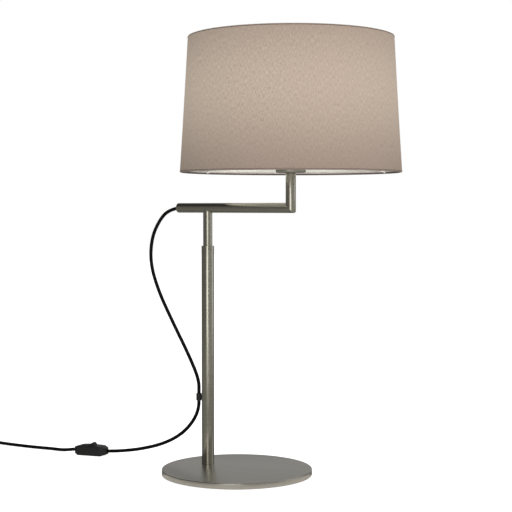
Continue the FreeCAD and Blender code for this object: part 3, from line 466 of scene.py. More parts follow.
def carved(mesh, *cutters):
    # the mesh less the cutters, each a closed mesh
    thing = placed("blank", mesh)
    tools = []
    for cutter in cutters:
        tool = placed("tool", cutter)
        tools.append(tool)
        carve = thing.modifiers.new("carve", "BOOLEAN")
        carve.operation = "DIFFERENCE"
        carve.solver = "EXACT"
        carve.object = tool
    graph = bpy.context.evaluated_depsgraph_get()
    graph.update()
    result = bpy.data.meshes.new_from_object(thing.evaluated_get(graph))
    for used in [thing, *tools]:
        bpy.data.objects.remove(used)
    return result


def softened(node, width, steps=2, flat=1.0, corner=24):
    # a CAD node's mesh with its triangles merged and its edges rounded
    made = bmesh.new()
    made.from_mesh(frame["nodes"][node].data)
    wear = made.verts.layers.float.new("wear")
    bmesh.ops.remove_doubles(made, verts=made.verts, dist=meshing["mergeCad"])
    edges = [edge for edge in made.edges if len(edge.link_faces) == 2]
    bmesh.ops.dissolve_limit(made, angle_limit=math.radians(flat), verts=made.verts, edges=edges)
    sharp = [
        edge for edge in made.edges
        if len(edge.link_faces) == 2 and edge.calc_face_angle() > math.radians(corner)
    ]
    done = bmesh.ops.bevel(
        made, geom=sharp, offset=width * mm, segments=steps, profile=0.5, affect="EDGES",
        clamp_overlap=True, offset_type="OFFSET",
    )
    for vertex in done["verts"]:
        if vertex.is_valid:
            vertex[wear] = meshing["bevelWear"]
    bmesh.ops.recalc_face_normals(made, faces=made.faces)
    return meshOf(made, node)


def rod(radius, low, high, segments=48):
    # a plain cutter, in millimetres, about Z
    return revolve(rounded(band(0, radius, low, high)), segments, closed=False)


def tube(spots, radius, sides, looped=False):
    # a round tube along points, its frame carried along without twist
    def build(made, uv, wear):
        count = len(spots)
        rings, marks = [], []
        travelled, side = 0.0, None
        for index, spot in enumerate(spots):
            if looped:
                ahead = spots[(index + 1) % count] - spots[index - 1]
            else:
                ahead = spots[min(index + 1, count - 1)] - spots[max(index - 1, 0)]
            ahead = ahead.normalized()
            side = ahead.orthogonal() if side is None else side - ahead * side.dot(ahead)
            side = side.normalized()
            across = ahead.cross(side)
            travelled += (spot - spots[index - 1]).length if index else 0.0
            marks.append(travelled)
            ring = []
            for k in range(sides):
                c, s = polar(2 * math.pi * k / sides)
                ring.append(made.verts.new(spot + (side * c + across * s) * radius))
            rings.append(ring)
        marks.append(travelled)
        strip = radius * 2 * math.pi / sides
        for index in range(count if looped else count - 1):
            ring, following = rings[index], rings[(index + 1) % count]
            for k in range(sides):
                after = (k + 1) % sides
                face = made.faces.new((ring[k], ring[after], following[after], following[k]))
                corners = ((k, index), (k + 1, index), (k + 1, index + 1), (k, index + 1))
                for loop, (turn, along) in zip(face.loops, corners):
                    loop[uv].uv = (turn * strip, marks[along])
        if not looped:
            made.faces.new(rings[0])
            made.faces.new(rings[-1])

    return meshFrom(build)


def loft(sections, sides=40):
    # rounded sections (x, half width, half height, squareness) in millimetres, along X, with end faces
    def build(made, uv, wear):
        rings = []
        for x, wide, high, square in sections:
            ring = []
            for k in range(sides):
                c, s = polar(2 * math.pi * k / sides)
                y = wide * math.copysign(abs(c) ** (2 / square), c)
                z = high * math.copysign(abs(s) ** (2 / square), s)
                ring.append(made.verts.new(Vector((x, y, z)) * mm))
            rings.append(ring)
        for first, second in zip(rings, rings[1:]):
            for k in range(sides):
                after = (k + 1) % sides
                made.faces.new((first[k], first[after], second[after], second[k]))
        made.faces.new(rings[0])
        made.faces.new(rings[-1])

    return meshFrom(build)


def metres(points):
    return [tuple(value * mm for value in point) for point in points]


# the flex: its route's points, then a coil of what isn't needed
flex = {
    "diameter": 4.5 * mm, "length": 1.78, "sides": 16, "sample": 2.4 * mm,
    "upper": [
        (-95.4, 0, 337.2), (-112, 0, 334.5), (-127, 0, 323), (-142, 0, 299), (-145, 0, 265),
        (-131, 0, 228), (-105, 0, 186), (-80, 0, 148), (-62, 0, 116), (-62, 0, 98),
    ],
    "lower": [
        (-62, 0, 78.5), (-71, 0, 61), (-90, -1, 42), (-121, -2, 26), (-160, -4, 15), (-193, -4, 9),
        (-213, -6.8, 6.7), (-222, -9.5, 6.5), (-239.3, -14.9, 6.5), (-256.5, -20.3, 6.5),
    ],
    "floor": [
        (-265, -23, 6.1), (-273, -25.4, 4.8), (-288, -24.4, 2.8), (-307, -23.4, 2.3), (-329, -29, 2.3),
        (-356, -33, 2.3), (-390, -35.8, 2.3), (-411, -37.3, 2.8),
    ],
    "tail": [
        (-458.4, -88, 7.35), (-457.1, -100.5, 7.3), (-450.2, -111.15, 7.2), (-439.3, -117.4, 7),
        (-427, -118, 6.85),
    ],
    "coilRadius": 33.1 * mm, "coilEntry": 95, "coilTurn": 2245, "perTurn": 14, "pitch": 1.01, "climb": 5,
}


def coilPoints():
    # in at the bottom row, inward, up, and outward again over the top row
    low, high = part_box("flex_coil")
    middle = (low + high) / 2
    lift = flex["diameter"] / 2
    pull = 1 / (0.75 + 0.25 * math.cos(2 * math.pi / flex["perTurn"]))
    count = round(flex["coilTurn"] / 360 * flex["perTurn"])
    points = []
    for step in range(1, count):
        share = step / count
        turns = flex["coilTurn"] / 360 * min(share, 1 - share)
        radius = (flex["coilRadius"] - flex["diameter"] * flex["pitch"] * turns) * pull
        angle = math.radians(flex["coilEntry"] + flex["coilTurn"] * share)
        climb = min(max((share - 0.5) * count / flex["climb"] + 0.5, 0), 1)
        height = low.z + lift + climb * (high.z - low.z - 2 * lift)
        x, y = polar(angle, radius)
        points.append((middle.x + x, middle.y + y, height))
    return points


def smoothLine(points):
    # points along the NURBS spline that has these as its control points
    curve = bpy.data.curves.new("route", "CURVE")
    curve.dimensions = "3D"
    spline = curve.splines.new("NURBS")
    spline.points.add(len(points) - 1)
    for control, point in zip(spline.points, points):
        control.co = (*point, 1)
    spline.order_u = meshing["order"]
    spline.use_endpoint_u = True
    spline.resolution_u = meshing["resolution"]
    thing = placed("route", curve)
    line = bpy.data.meshes.new_from_object(thing)
    spots = [vertex.co.copy() for vertex in line.vertices]
    bpy.data.objects.remove(thing)
    bpy.data.meshes.remove(line)
    return spots


def evenly(spots, step):
    out = [spots[0]]
    for spot in spots[1:-1]:
        if (spot - out[-1]).length >= step:
            out.append(spot)
    out.append(spots[-1])
    return out


route = metres(flex["upper"] + flex["lower"] + flex["floor"]) + coilPoints() + metres(flex["tail"])
flexPath = evenly(smoothLine(route), flex["sample"])
flexPiece = newPiece("flex", tube(flexPath, flex["diameter"] / 2, flex["sides"]), "blackFlex", sharp=60)
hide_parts("flex_upper", "flex_lower", "flex_floor", "flex_coil", "flex_tail")
clipLow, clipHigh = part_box("flex_clip")
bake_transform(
    flexPiece, "stand", "arm",
    start=(poleAxis.x, 0, clipHigh.z),
    end=(poleAxis.x, 0, armHeight),
)
flexRun = sum((second - first).length for first, second in zip(flexPath, flexPath[1:]))
print("flex made:", round(flexRun, 4), "m")


def span(node):
    # a node's lowest and highest corners in millimetres
    return [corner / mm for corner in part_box(node)]


# the foot: a steel plate with a felt pad, both cut out round the pole's bolt
foot = {
    "segments": 256, "topEdge": 0.7, "lowEdge": 0.3, "recessSpare": 0.5, "boltHole": 4.2, "padHole": 9.5,
    "padFuzz": 0.12, "fuzzFrom": 80 * mm, "ripples": (61, 97, 151), "padEdge": 0.35, "padLift": 0.001,
}
plateLow, plateHigh = span("base_plate")
washerLow, washerHigh = span("bolt_washer")
plateEdges = (0, foot["lowEdge"], foot["topEdge"], 0)
plateOutline = rounded(band(0, plateHigh.x, plateLow.z, plateHigh.z, plateEdges))
recessRadius = (washerHigh.x - washerLow.x) / 2 + foot["recessSpare"]
plateMesh = carved(
    revolve(plateOutline, foot["segments"], closed=False),
    onPole(rod(recessRadius, plateLow.z - past, washerHigh.z)),
    onPole(rod(foot["boltHole"], washerHigh.z - past / 2, plateHigh.z + past)),
)
newPiece("footPlate", plateMesh, "nickelPlate", ["base_plate"])


def fuzz(spot, angle):
    # a felt edge isn't quite round
    away = math.hypot(spot.x, spot.y)
    if away < foot["fuzzFrom"]:
        return spot
    ripple = sum(math.sin(angle * count + index) for index, count in enumerate(foot["ripples"]))
    shrink = 1 - foot["padFuzz"] * mm * (1 + ripple / len(foot["ripples"])) / away
    return spot * shrink + upward * spot.z * foot["padLift"]


padLow, padHigh = span("base_pad")
padEdges = (0, foot["padEdge"], foot["padEdge"], 0)
padOutline = rounded(band(0, padHigh.x, padLow.z, padHigh.z, padEdges))
padMesh = revolve(padOutline, foot["segments"] * 2, closed=False, change=fuzz)
padMesh = carved(padMesh, onPole(rod(foot["padHole"], -past, padHigh.z + past)))
newPiece("footPad", padMesh, "blackFelt", ["base_pad"])

# the pole, with its hole for the clip's peg
pole = {"bore": 6.5, "topEdge": 0.35, "innerEdge": 0.2, "footEdge": 0.15, "pegHole": 1.6}
poleLow, poleHigh = span("pole_tube")
poleRadius = (poleHigh.x - poleLow.x) / 2
clipMiddle = (clipLow.z + clipHigh.z) / 2 / mm
poleEdges = (0, pole["footEdge"], pole["topEdge"], pole["innerEdge"])
poleMesh = onPole(revolve(rounded(band(pole["bore"], poleRadius, poleLow.z, poleHigh.z, poleEdges))))
pegCutter = moved(
    rod(pole["pegHole"], 0, poleRadius + past),
    Matrix.Translation(poleAxis + upward * clipMiddle * mm) @ Matrix.Rotation(math.radians(-90), 4, "Y"),
)
newPiece("pole", carved(poleMesh, pegCutter), "nickelPole", ["pole_tube"])

# the swivel tube, hollowed at its top to sit under the arm, and its brazed joint
swivel = {"bore": 4.9, "footEdge": 0.2, "bead": 0.4, "beadSunk": 0.3, "beadSides": 10, "beadSteps": 96}
swivelLow, swivelHigh = span("swivel_tube")
swivelRadius = (swivelHigh.x - swivelLow.x) / 2


def underArm(across):
    return armHeight - math.sqrt(armRadius ** 2 - across ** 2)


def saddle(spot, angle):
    return Vector((spot.x, spot.y, underArm(spot.y))) if spot.z > armHeight else spot


swivelEdges = (swivel["footEdge"], swivel["footEdge"], 0, 0)
swivelMesh = revolve(rounded(band(
    swivel["bore"], swivelRadius, swivelLow.z, armHeight / mm + past, swivelEdges,
)), change=saddle)
newPiece("swivelTube", onPole(swivelMesh), "nickelPole", ["swivel_tube"])
beadPath = []
for step in range(swivel["beadSteps"]):
    x, y = polar(2 * math.pi * step / swivel["beadSteps"], swivelRadius * mm)
    beadPath.append(poleAxis + Vector((x, y, underArm(y) - swivel["bead"] * mm * swivel["beadSunk"])))
beadMesh = tube(beadPath, swivel["bead"] * mm, swivel["beadSides"], looped=True)
newPiece("swivelBraze", beadMesh, "nickelPole", body="arm", slot="satin_nickel", sharp=180)

# the arm and the stem, mitred and welded, the weld dressed down and the outer corner eased
arm = {"bore": 5.25, "edge": 0.15, "weld": 0.3, "weldDepth": 0.1, "ease": 0.9, "easeSpan": 1.3, "near": 3}
tubeBack = armLow.x / mm
armSeam = stemAxis.x / mm - tubeBack
stemTop = stemHigh.z / mm
tubeRadius = armRadius / mm


def tubeOutline(length):
    # one end plain, the other at the mitre
    weld, ease = arm["weld"], arm["easeSpan"]
    return rounded([
        (arm["bore"], 0),
        (tubeRadius, 0, arm["edge"]),
        (tubeRadius, length - ease),
        (tubeRadius, length - ease * 0.5),
        (tubeRadius, length - weld),
        (tubeRadius - arm["weldDepth"], length),
        (arm["bore"], length),
    ])


def mitred(length, lay):
    # each point's side towards the corner, from -1 inside to 1 outside, slants it and eases the corner
    def change(spot, angle):
        across, sideways, along = spot.x, spot.y, spot.z
        outer = max(across / armRadius, 0) ** 3
        left = length * mm - along
        if left < arm["near"] * mm:
            share = max(1 - left / (arm["easeSpan"] * mm), 0)
            shrink = 1 - arm["ease"] * mm * share ** 2 * outer / armRadius
            across, sideways = across * shrink, sideways * shrink
            along += across
        return lay(across, sideways, along)

    return change


def layArm(across, sideways, along):
    return Vector((tubeBack * mm + along, sideways, armHeight - across))


def layStem(across, sideways, along):
    return Vector((stemAxis.x + across, sideways, stemTop * mm - along))


stemSeam = stemTop - armHeight / mm
for name, node, seam, lay, finish in (
    ("armTube", "arm_tube", armSeam, layArm, "nickelArm"),
    ("stemTube", "stem_tube", stemSeam, layStem, "nickelPole"),
):
    newPiece(name, revolve(tubeOutline(seam), change=mitred(seam, lay)), finish, [node])

# the arm's end cap
endCap = {"way": 2.35, "spigot": 8, "edge": 0.5, "wayEdge": 0.4, "backEdge": 0.1}
capLength = tubeBack - span("arm_end_cap")[0].x
capMesh = revolve(rounded([
    (endCap["way"], -endCap["spigot"]),
    (arm["bore"], -endCap["spigot"]),
    (arm["bore"], 0),
    (tubeRadius, 0, endCap["backEdge"]),
    (tubeRadius, capLength, endCap["edge"]),
    (endCap["way"], capLength, endCap["wayEdge"]),
]))
toTail = Matrix.Translation((tubeBack * mm, 0, armHeight)) @ Matrix.Rotation(math.radians(-90), 4, "Y")
newPiece("armEndCap", moved(capMesh, toTail), "nickelArm", ["arm_end_cap"])
print("foot, pole and arm made")

# the lampholder: a metal cup, a moulded body with an outside thread, and the ring nut that grips the shade
cup = {"edge": 2.2, "lip": 0.5, "wall": 1.2, "hole": 4.1}
cupLow, cupHigh = span("holder_cup")
cupRadius = (cupHigh.y - cupLow.y) / 2
cupMesh = revolve(rounded([
    (cup["hole"], cupLow.z),
    (cupRadius, cupLow.z, cup["edge"]),
    (cupRadius, cupHigh.z, cup["lip"]),
    (cupRadius - cup["wall"], cupHigh.z, cup["lip"]),
    (cupRadius - cup["wall"], cupLow.z + cup["wall"], cup["edge"] - cup["wall"]),
    (cup["hole"], cupLow.z + cup["wall"]),
], steps=6), segments=128)
newPiece("holderCup", onStem(cupMesh), "nickelCup", ["holder_cup"])

holder = {
    "hole": 4.1, "inside": 17, "foot": 2, "flange": 21.5, "flangeLow": 31.1, "flangeHigh": 33.6,
    "thread": 19.6, "threadDeep": 0.7, "pitch": 2.5, "bore": 14.4, "socketFloor": 18, "contact": 3,
    "webLow": 15, "chamberLow": 3, "edge": 0.5,
    "runOut": 1, "crest": (0, 0.9), "root": (1.4, 2.1),  # from and to, along one pitch
}
bodyLow, bodyHigh = span("lampholder_body")
base = bodyLow.z
flangeLow, flangeHigh = base + holder["flangeLow"], base + holder["flangeHigh"]
threads = []
height = flangeHigh + holder["runOut"]
while height < bodyHigh.z - holder["pitch"]:
    threads += [(holder["thread"], height + rise) for rise in holder["crest"]]
    threads += [(holder["thread"] - holder["threadDeep"], height + rise) for rise in holder["root"]]
    height += holder["pitch"]
holderOutline = [
    (holder["hole"], base),
    (holder["inside"] - holder["foot"], base),
    (holder["inside"], base + holder["foot"]),
    (holder["inside"], flangeLow),
    (holder["flange"], flangeLow, holder["edge"]),
    (holder["flange"], flangeHigh, holder["edge"]),
    (holder["thread"], flangeHigh),
    *threads,
    (holder["thread"], bodyHigh.z, holder["edge"]),
    (holder["bore"], bodyHigh.z, holder["edge"]),
    (holder["bore"], base + holder["socketFloor"]),
    (holder["contact"], base + holder["socketFloor"]),
    (holder["contact"], base + holder["webLow"]),
    (holder["bore"], base + holder["webLow"]),
    (holder["bore"], base + holder["chamberLow"]),
    (holder["hole"], base + holder["chamberLow"]),
]
holderMesh = revolve(rounded(holderOutline, steps=3))
newPiece("lampholder", onStem(holderMesh), "blackMoulding", ["lampholder_body"])

ringNut = {"ribs": 28, "ribDeep": 0.7, "edge": 0.6, "segments": 224, "gripFrom": 0.024}
nutLow, nutHigh = span("shade_clamp_ring")
nutRadius = (nutHigh.y - nutLow.y) / 2


def ribbed(spot, angle):
    if math.hypot(spot.x, spot.y) < ringNut["gripFrom"]:
        return spot
    return widened(spot, -max(math.cos(angle * ringNut["ribs"]), 0) * ringNut["ribDeep"] * mm)


nutOutline = rounded(band(holder["thread"], nutRadius, nutLow.z, nutHigh.z, (ringNut["edge"],) * 4), steps=3)
nutMesh = revolve(nutOutline, ringNut["segments"], change=ribbed)
newPiece("ringNut", onStem(nutMesh), "blackMoulding", ["shade_clamp_ring"])

# the bulb: an opal globe on its neck
bulb = {"wall": 1, "neck": 13, "from": -58, "steps": 26, "neckBlend": 9, "segments": 72}
globeLow, globeHigh = span("bulb_globe")
globeRadius = (globeHigh.y - globeLow.y) / 2
globeMiddle = globeHigh.z - globeRadius


def globeSide(inset):
    neck = bulb["neck"] - inset
    side = [(neck, globeLow.z), (neck, globeLow.z + bulb["neckBlend"])]
    for step in range(bulb["steps"] + 1):
        angle = math.radians(bulb["from"] + (90 - bulb["from"]) * step / bulb["steps"])
        x, y = polar(angle, globeRadius - inset)
        side.append((x, globeMiddle + y))
    return side


globeMesh = revolve(rounded(globeSide(0) + list(reversed(globeSide(bulb["wall"])))), bulb["segments"])
newPiece("bulbGlobe", onStem(globeMesh), "opalGlass", ["bulb_globe"], sharp=60)

# the shade: a woven cover on a stiff white liner, rolled over two wire rings
shade = {
    "segments": 360, "seamAt": 125.3, "headRadius": 125, "cover": 0.55, "coverInset": 0.3, "liner": 0.5,
    "seamHalf": 4.5, "seamLift": 0.35, "waist": 0.25, "ripple": 0.12,
    "waves": ((5, 1, 0, 1), (11, 0, 3, 0.6)),  # count, shift, lean and size of each
    "wire": 1.5, "wireSides": 14, "wireSegments": 240, "hemLift": 0.12, "hemSwell": 0.1,
    "hemLean": 0.25, "hemSteps": 9, "hemGap": 0.05, "hemThick": 0.32, "hemOut": -0.1, "hemIn": 0.3,
    "rows": 10, "flat": (0.86, 0.215),
    "overlap": 1.04,  # the seam and the turned edges add this to the cloth
}
fabricLow, fabricHigh = span("shade_fabric")
shadeStart = math.radians(shade["seamAt"])
shadeFoot, shadeHead = fabricLow.z, fabricHigh.z
footRadius = (fabricHigh.y - fabricLow.y) / 2
taper = (footRadius - shade["headRadius"]) / (shadeHead - shadeFoot)


def coverRadius(height):
    return footRadius - (height - shadeFoot) * taper


def coverShape(lift):
    # a little waisted and rippled, with the cover's overlap at the back
    def change(spot, angle):
        height = spot.z / mm
        share = (height - shadeFoot) / (shadeHead - shadeFoot)
        free = math.sin(math.pi * min(max(share, 0), 1))
        waves = sum(
            size * math.sin(angle * count + shift + share * lean)
            for count, shift, lean, size in shade["waves"]
        )
        move = (shade["ripple"] * waves - shade["waist"]) * free
        turned = abs((angle - shadeStart + math.pi) % (2 * math.pi) - math.pi)
        if lift and turned * math.hypot(spot.x, spot.y) / mm < shade["seamHalf"]:
            move += lift
        return widened(spot, move * mm)

    return change


def skin(outside, thickness, low, high):
    # both faces of a thin conical sheet, in rows so that it can bow
    rows = shade["rows"]
    heights = [low + (high - low) * row / rows for row in range(rows + 1)]
    outer = [(coverRadius(height) - outside, height) for height in heights]
    inner = [(across - thickness, height) for across, height in reversed(outer)]
    return rounded(outer + inner)


coverFoot, coverHead = shadeFoot + shade["coverInset"], shadeHead - shade["coverInset"]
coverMesh = revolve(
    skin(0, shade["cover"], coverFoot, coverHead), shade["segments"],
    change=coverShape(shade["seamLift"]), start=shadeStart,
)
cover = newPiece("shadeCover", onStem(coverMesh), "taupeWeave", ["shade_fabric"])
linerLow, linerHigh = span("shade_liner")
linerInset = footRadius - (linerHigh.y - linerLow.y) / 2
linerMesh = revolve(
    skin(linerInset, shade["liner"], linerLow.z, linerHigh.z), shade["segments"],
    change=coverShape(0), start=shadeStart,
)
newPiece("shadeLiner", onStem(linerMesh), "whiteLaminate", ["shade_liner"])


def wireRing(name, node):
    low, high = span(node)
    height = (low.z + high.z) / 2
    across = (high.y - low.y) / 2 - shade["wire"]
    spokes = [polar(2 * math.pi * k / shade["wireSides"], shade["wire"]) for k in range(shade["wireSides"])]
    mesh = revolve(rounded([(across + x, height + y) for x, y in spokes]), shade["wireSegments"])
    newPiece(name, onStem(mesh), "whiteWire", [node], sharp=60)
    return across, height


def hem(name, across, height, up):
    # the cover's edge, turned round the wire and tucked in against the liner; up is 1 at the top, -1 below
    edge = shade["hemGap"] + shade["wire"] + shade["hemThick"]
    outside = coverRadius(height) + shade["hemLift"]
    swollen = outside + shade["hemSwell"]
    inside = across - edge
    points = [(outside, height - up * shade["hemOut"]), (swollen, height)]
    wide = (swollen - inside) / 2
    for step in range(1, shade["hemSteps"]):
        angle = math.pi * step / shade["hemSteps"]
        points.append((inside + wide + wide * math.cos(angle), height + up * edge * math.sin(angle)))
    points += [(inside, height), (inside + shade["hemLean"], height - up * shade["hemIn"])]
    inner = []
    for i, point in enumerate(points):
        before, after = points[max(i - 1, 0)], points[min(i + 1, len(points) - 1)]
        along = Vector((after[0] - before[0], after[1] - before[1])).normalized()
        inward = Vector((-along.y, along.x)) * up
        inner.append((point[0] + inward.x * shade["hemThick"], point[1] + inward.y * shade["hemThick"]))
    outline = rounded(points + list(reversed(inner)))
    mesh = revolve(outline, shade["segments"], start=shadeStart)
    return newPiece(name, onStem(mesh), "taupeTape", body="arm", slot="taupe_weave", sharp=60)


lowerAcross, lowerHeight = wireRing("lowerRing", "shade_lower_ring")
upperAcross, upperHeight = wireRing("upperRing", "shade_top_ring")
lowerHem = hem("lowerHem", lowerAcross, lowerHeight, -1)
upperHem = hem("upperHem", upperAcross, upperHeight, 1)

# the spider: a plate ring on the lampholder's shoulder and three welded wire struts
spider = {
    "plate": 1.7, "wire": 1.3, "angles": (-60, 60, 180), "hole": 20, "edge": 0.5, "sides": 16,
    "overlap": 1, "rise": 0.1, "toWire": 0.6, "bend": 0.08,
    "weld": 2.0, "weldSteps": 8, "weldOut": 0.5, "weldFlat": 0.7,
}
spiderHigh = span("shade_spider")[1]
fitterLow = spiderHigh.z - spider["plate"]
fitterOutline = band(spider["hole"], nutRadius, fitterLow, spiderHigh.z, (spider["edge"],) * 4)
spiderParts = [revolve(rounded(fitterOutline, steps=3))]
for turn in spider["angles"]:
    heading = Vector((*polar(math.radians(turn)), 0))
    start = heading * (nutRadius - spider["overlap"]) * mm + upward * (fitterLow + spider["rise"]) * mm
    end = heading * (lowerAcross - shade["wire"] * spider["toWire"]) * mm + upward * lowerHeight * mm
    line = [start, start.lerp(end, spider["bend"]), start.lerp(end, 0.5), end]
    spiderParts.append(tube(line, spider["wire"] * mm, spider["sides"]))
    weld = []
    for step in range(spider["weldSteps"] + 1):
        angle = math.pi * step / spider["weldSteps"]
        weld.append((spider["weld"] * math.sin(angle), -spider["weld"] * math.cos(angle)))
    bead = revolve(rounded(weld), spider["sides"], closed=False)
    weldAt = Matrix.Translation(start + heading * spider["weldOut"] * mm)
    spiderParts.append(moved(bead, weldAt @ Matrix.Diagonal((1, 1, spider["weldFlat"], 1))))
newPiece("shadeSpider", onStem(joined(*spiderParts)), "whiteWire", ["shade_spider"])
print("lampholder, bulb and shade made")

# the clip on the pole, the switch, its rocker and the coil's tie: the CAD shapes with moulded edges
moulded = {
    "flex_clip": ("blackNylon", 0.35),
    "switch_lower": ("blackMoulding", 0.45),
    "switch_cover": ("blackMoulding", 0.5),
    "switch_rocker": ("blackMoulding", 0.4),
    "coil_tie": ("blackNylon", 0.2),
}
mouldedPieces = {
    node: newPiece(camel(node), softened(node, width), finish, [node], sharp=50)
    for node, (finish, width) in moulded.items()
}

# the plug: a moulded body with a ribbed tail, and two sleeved pins
plug = {
    "ribs": 4, "ribFrom": 0.8, "ribPitch": 2.4, "pin": 2.0, "sleeve": 10, "core": 1.5, "sleeveInside": 1.55,
    "tip": 1.0, "root": 2.6, "rootLong": 8, "spacing": 19, "sunk": 0.2, "sleeveSunk": 0.1, "sides": 32,
    # along, half width, half height, squareness
    "tail": [(0, 3.6, 3.6, 2), (0.4, 4.1, 4.1, 2)],
    "rib": [(0, 4.4, 4.4, 2), (1.2, 4.5, 4.5, 2), (1.4, 3.9, 3.9, 2), (2.1, 3.9, 3.9, 2)],
    "body": [
        (10.8, 5.2, 4.7, 2.1), (13, 7.2, 5.4, 2.4), (15.5, 10.2, 6.3, 2.9), (18.5, 12.3, 6.75, 3.4),
        (21, 12.9, 6.85, 3.8),
        (22.5, 12.95, 6.85, 4), (22.9, 12.5, 6.6, 4), (23.9, 12.5, 6.6, 4), (24.3, 12.95, 6.85, 4),
        (26, 12.95, 6.85, 4), (26.4, 12.5, 6.6, 4), (27.4, 12.5, 6.6, 4), (27.8, 12.95, 6.85, 4),
        (34.8, 12.9, 6.8, 4.2), (35.6, 12.6, 6.5, 4.2), (36, 12.0, 6.0, 4.2),
    ],
}
plugLow, plugHigh = span("plug_body")
plugMiddle = (plugLow + plugHigh) / 2
plugAt = Matrix.Translation(Vector((plugLow.x, plugMiddle.y, plugMiddle.z)) * mm)
sections = list(plug["tail"])
for rib in range(plug["ribs"]):
    ribStart = plug["ribFrom"] + rib * plug["ribPitch"]
    sections += [(ribStart + x, *section) for x, *section in plug["rib"]]
sections += plug["body"]
plugBody = newPiece("plugBody", moved(loft(sections), plugAt), "blackMoulding", ["plug_body"], sharp=40)
pinParts, sleeveParts = [], []
pinBase = plugHigh.x - plugLow.x
pinEnd = span("plug_pins")[1].x - plugLow.x
alongX = Matrix.Rotation(math.radians(90), 4, "Y")
for side in (-1, 1):
    pinAt = plugAt @ Matrix.Translation((0, side * plug["spacing"] / 2 * mm, 0)) @ alongX
    pinParts.append(moved(revolve(rounded([
        (0, pinBase - plug["rootLong"]),
        (plug["root"], pinBase - plug["rootLong"]),
        (plug["root"], pinBase - plug["sunk"]),
        (plug["core"], pinBase - plug["sunk"]),
        (plug["core"], pinBase + plug["sleeve"]),
        (plug["pin"], pinBase + plug["sleeve"], plug["sleeveSunk"]),
        (plug["pin"], pinEnd, plug["tip"]),
        (0, pinEnd),
    ]), plug["sides"], closed=False), pinAt))
    sleeveParts.append(moved(revolve(rounded(band(
        plug["sleeveInside"], plug["pin"], pinBase - plug["sleeveSunk"],
        pinBase + plug["sleeve"] - plug["sleeveSunk"], (0, 0, plug["sleeveSunk"], 0),
    )), plug["sides"]), pinAt))
plugPins = newPiece("plugPins", joined(*pinParts), "platedBrass", ["plug_pins"])
pinSleeves = newPiece(
    "pinSleeves", joined(*sleeveParts), "blackMoulding", body="stand", slot="black_moulding",
)
print("clip, switch and plug made")

# CAD nodes that keep their shape, out of sight inside the lamp
slotFinishes = {"satin_nickel": "nickelPole", "felt": "blackFelt", "bulb_cap_metal": "brightCap"}
for name, thing in frame["nodes"].items():
    slot = slotOf[name]
    thing.data.materials.clear()
    thing.data.materials.append(finishes[slotFinishes.get(slot, camel(slot))])

# the studio: a pale floor, soft panels for diffuse light, and cards that only the metal's reflections meet
rightward = Vector((0.8006, 0.5992, 0))
nearward = Vector((0.5992, -0.8006, 0))
studio = {
    "floor": 0.86, "speck": 0.01, "speckSize": (40, 40, 40),
    "floorSeen": (0.8, 0.8, 0.8), "floorMirrored": (0.3, 0.293, 0.278),
    "floorSize": 6, "white": 1.0, "mirrored": 0.05, "diffuse": 0.5, "middle": Vector((-0.047, 0, 0.3)),
    "cardReach": 2.0, "cardColumns": 24, "cardClear": 2 * mm, "sheetClear": 0.3 * mm,
}


def floorFinish():
    made = Finish("floor", **{"Roughness": 0.9, "Specular IOR Level": 0.1, "Emission Strength": 1.0})
    seen = made.node("ShaderNodeLightPath", output="Is Camera Ray")
    mirrored = made.node("ShaderNodeLightPath", output="Is Glossy Ray")
    speck = made.noise(studio["speckSize"], detail=2)
    pale = made.blend(speck, (studio["floor"],) * 3, (studio["floor"] - studio["speck"],) * 3)
    made.feed({
        "Base Color": made.blend(mirrored, pale, studio["floorMirrored"]),
        "Emission Color": made.blend(seen, (0.0, 0.0, 0.0), studio["floorSeen"]),
    })
    return made.data


def stagePiece(name, corners, faces, material):
    mesh = bpy.data.meshes.new(name)
    mesh.from_pydata(corners, [], faces)
    mesh.materials.append(material)
    piece = placed(name, mesh)
    return piece


reach = studio["floorSize"]
floorCorners = [(-reach, -reach, 0), (reach, -reach, 0), (reach, reach, 0), (-reach, reach, 0)]
stagePiece("floor", floorCorners, [(0, 1, 2, 3)], floorFinish())

sky = Finish("studio", "worlds", "Background", Color=(1, 1, 1, 1))
strength = studio["diffuse"]
for ray, name in (("Is Glossy Ray", "mirrored"), ("Is Camera Ray", "white")):
    mask = sky.node("ShaderNodeLightPath", output=ray)
    strength = sky.node("ShaderNodeMix", {"data_type": "FLOAT"}, {0: mask, 2: strength, 3: studio[name]})
sky.feed({"Strength": strength})
scene.world = sky.data


# soft light: place (right, near, up), width, height, power, colour
lamps = {
    "keyPanel": ((0.5, 1.9, 1.5), 1.1, 1.1, 14.5, (1, 0.985, 0.97)),
    "lowPanel": ((0.15, 1.5, 0.12), 1.0, 0.2, 15, (1, 0.985, 0.95)),
    "sidePanel": ((1.9, 0.3, 0.7), 0.7, 1.6, 12, (1, 0.99, 0.97)),
    "topPanel": ((0, 0.1, 2.2), 1.4, 1.4, 3, (1, 1, 1)),
}
for name, ((right, near, up), wide, tall, power, colour) in lamps.items():
    data = bpy.data.lights.new(name, "AREA")
    data.shape = "RECTANGLE"
    data.size = wide
    data.size_y = tall
    data.energy = power
    data.color = colour
    lamp = placed(name, data)
    lamp.location = rightward * right + nearward * near + upward * up
    lamp.rotation_euler = (studio["middle"] - lamp.location).to_track_quat("-Z", "Y").to_euler()
    lamp.visible_camera = False
    lamp.visible_glossy = False

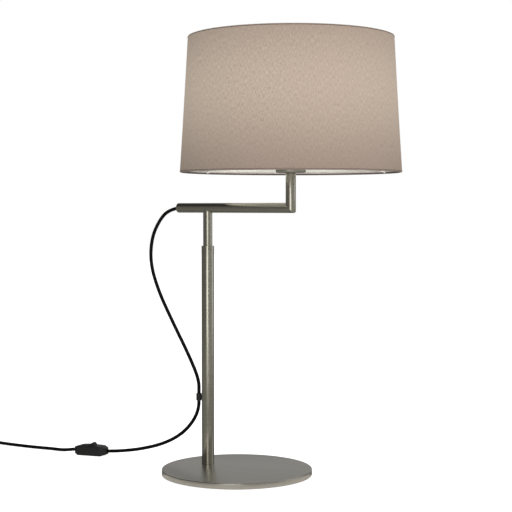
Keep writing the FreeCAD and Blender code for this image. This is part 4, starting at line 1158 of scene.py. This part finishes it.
# cards: bearing to the right of the camera, from and to, then height from and to, all in degrees
cards = {
    "keyCard": (-22, 8, -8, 13, (1.0, 0.98, 0.945), 1.75),
    "highCard": (-22, 8, 13.2, 38, (1.0, 0.98, 0.945), 0.85),
    "rightCard": (18, 70, -8, 55, (1.0, 0.98, 0.96), 0.35),
    "farRightCard": (78, 114, -8, 50, (1.0, 0.98, 0.96), 0.8),
    "backCard": (140, 198, -8, 42, (1.0, 0.985, 0.96), 0.39),
    "topCard": (-180, 180, 66, 88, (1.0, 0.99, 0.97), 0.2),
    "leftCard": (-135, -26, -8, 22, (1.0, 0.99, 0.96), 0.16),
}
# sheets on the floor: bearing from and to, then distance from and to
floorCards = {
    "footCard": (-85, 85, 0.0965, 0.135, (1.0, 0.95, 0.87), 0.67),
    "sheenCard": (-22, 8, 0.45, 2.0, (1.0, 0.98, 0.945), 0.65),
}
columns = studio["cardColumns"]


def glossyCard(name, corners, colour, strength):
    # corners in two rows; only reflections meet it
    made = Finish(name, **{
        "Base Color": (0, 0, 0, 1), "Specular IOR Level": 0.0,
        "Emission Color": (*colour, 1), "Emission Strength": strength,
    })
    faces = [(i, i + 1, i + columns + 2, i + columns + 1) for i in range(columns)]
    card = stagePiece(name, corners, faces, made.data)
    for ray in ("camera", "diffuse", "shadow", "transmission", "volume_scatter"):
        setattr(card, "visible_" + ray, False)


def bearing(turn):
    return rightward * math.sin(math.radians(turn)) + nearward * math.cos(math.radians(turn))


for name, (fromTurn, toTurn, fromUp, toUp, colour, strength) in cards.items():
    corners = []
    for rise in (math.radians(fromUp), math.radians(toUp)):
        for column in range(columns + 1):
            flat = bearing(fromTurn + (toTurn - fromTurn) * column / columns)
            spot = studio["middle"] + (flat * math.cos(rise) + upward * math.sin(rise)) * studio["cardReach"]
            corners.append(Vector((spot.x, spot.y, max(spot.z, studio["cardClear"]))))
    glossyCard(name, corners, colour, strength)
for name, (fromTurn, toTurn, fromReach, toReach, colour, strength) in floorCards.items():
    corners = [
        bearing(fromTurn + (toTurn - fromTurn) * column / columns) * away + upward * studio["sheetClear"]
        for away in (fromReach, toReach) for column in range(columns + 1)
    ]
    glossyCard(name, corners, colour, strength)
print("floor, cards and lights made")
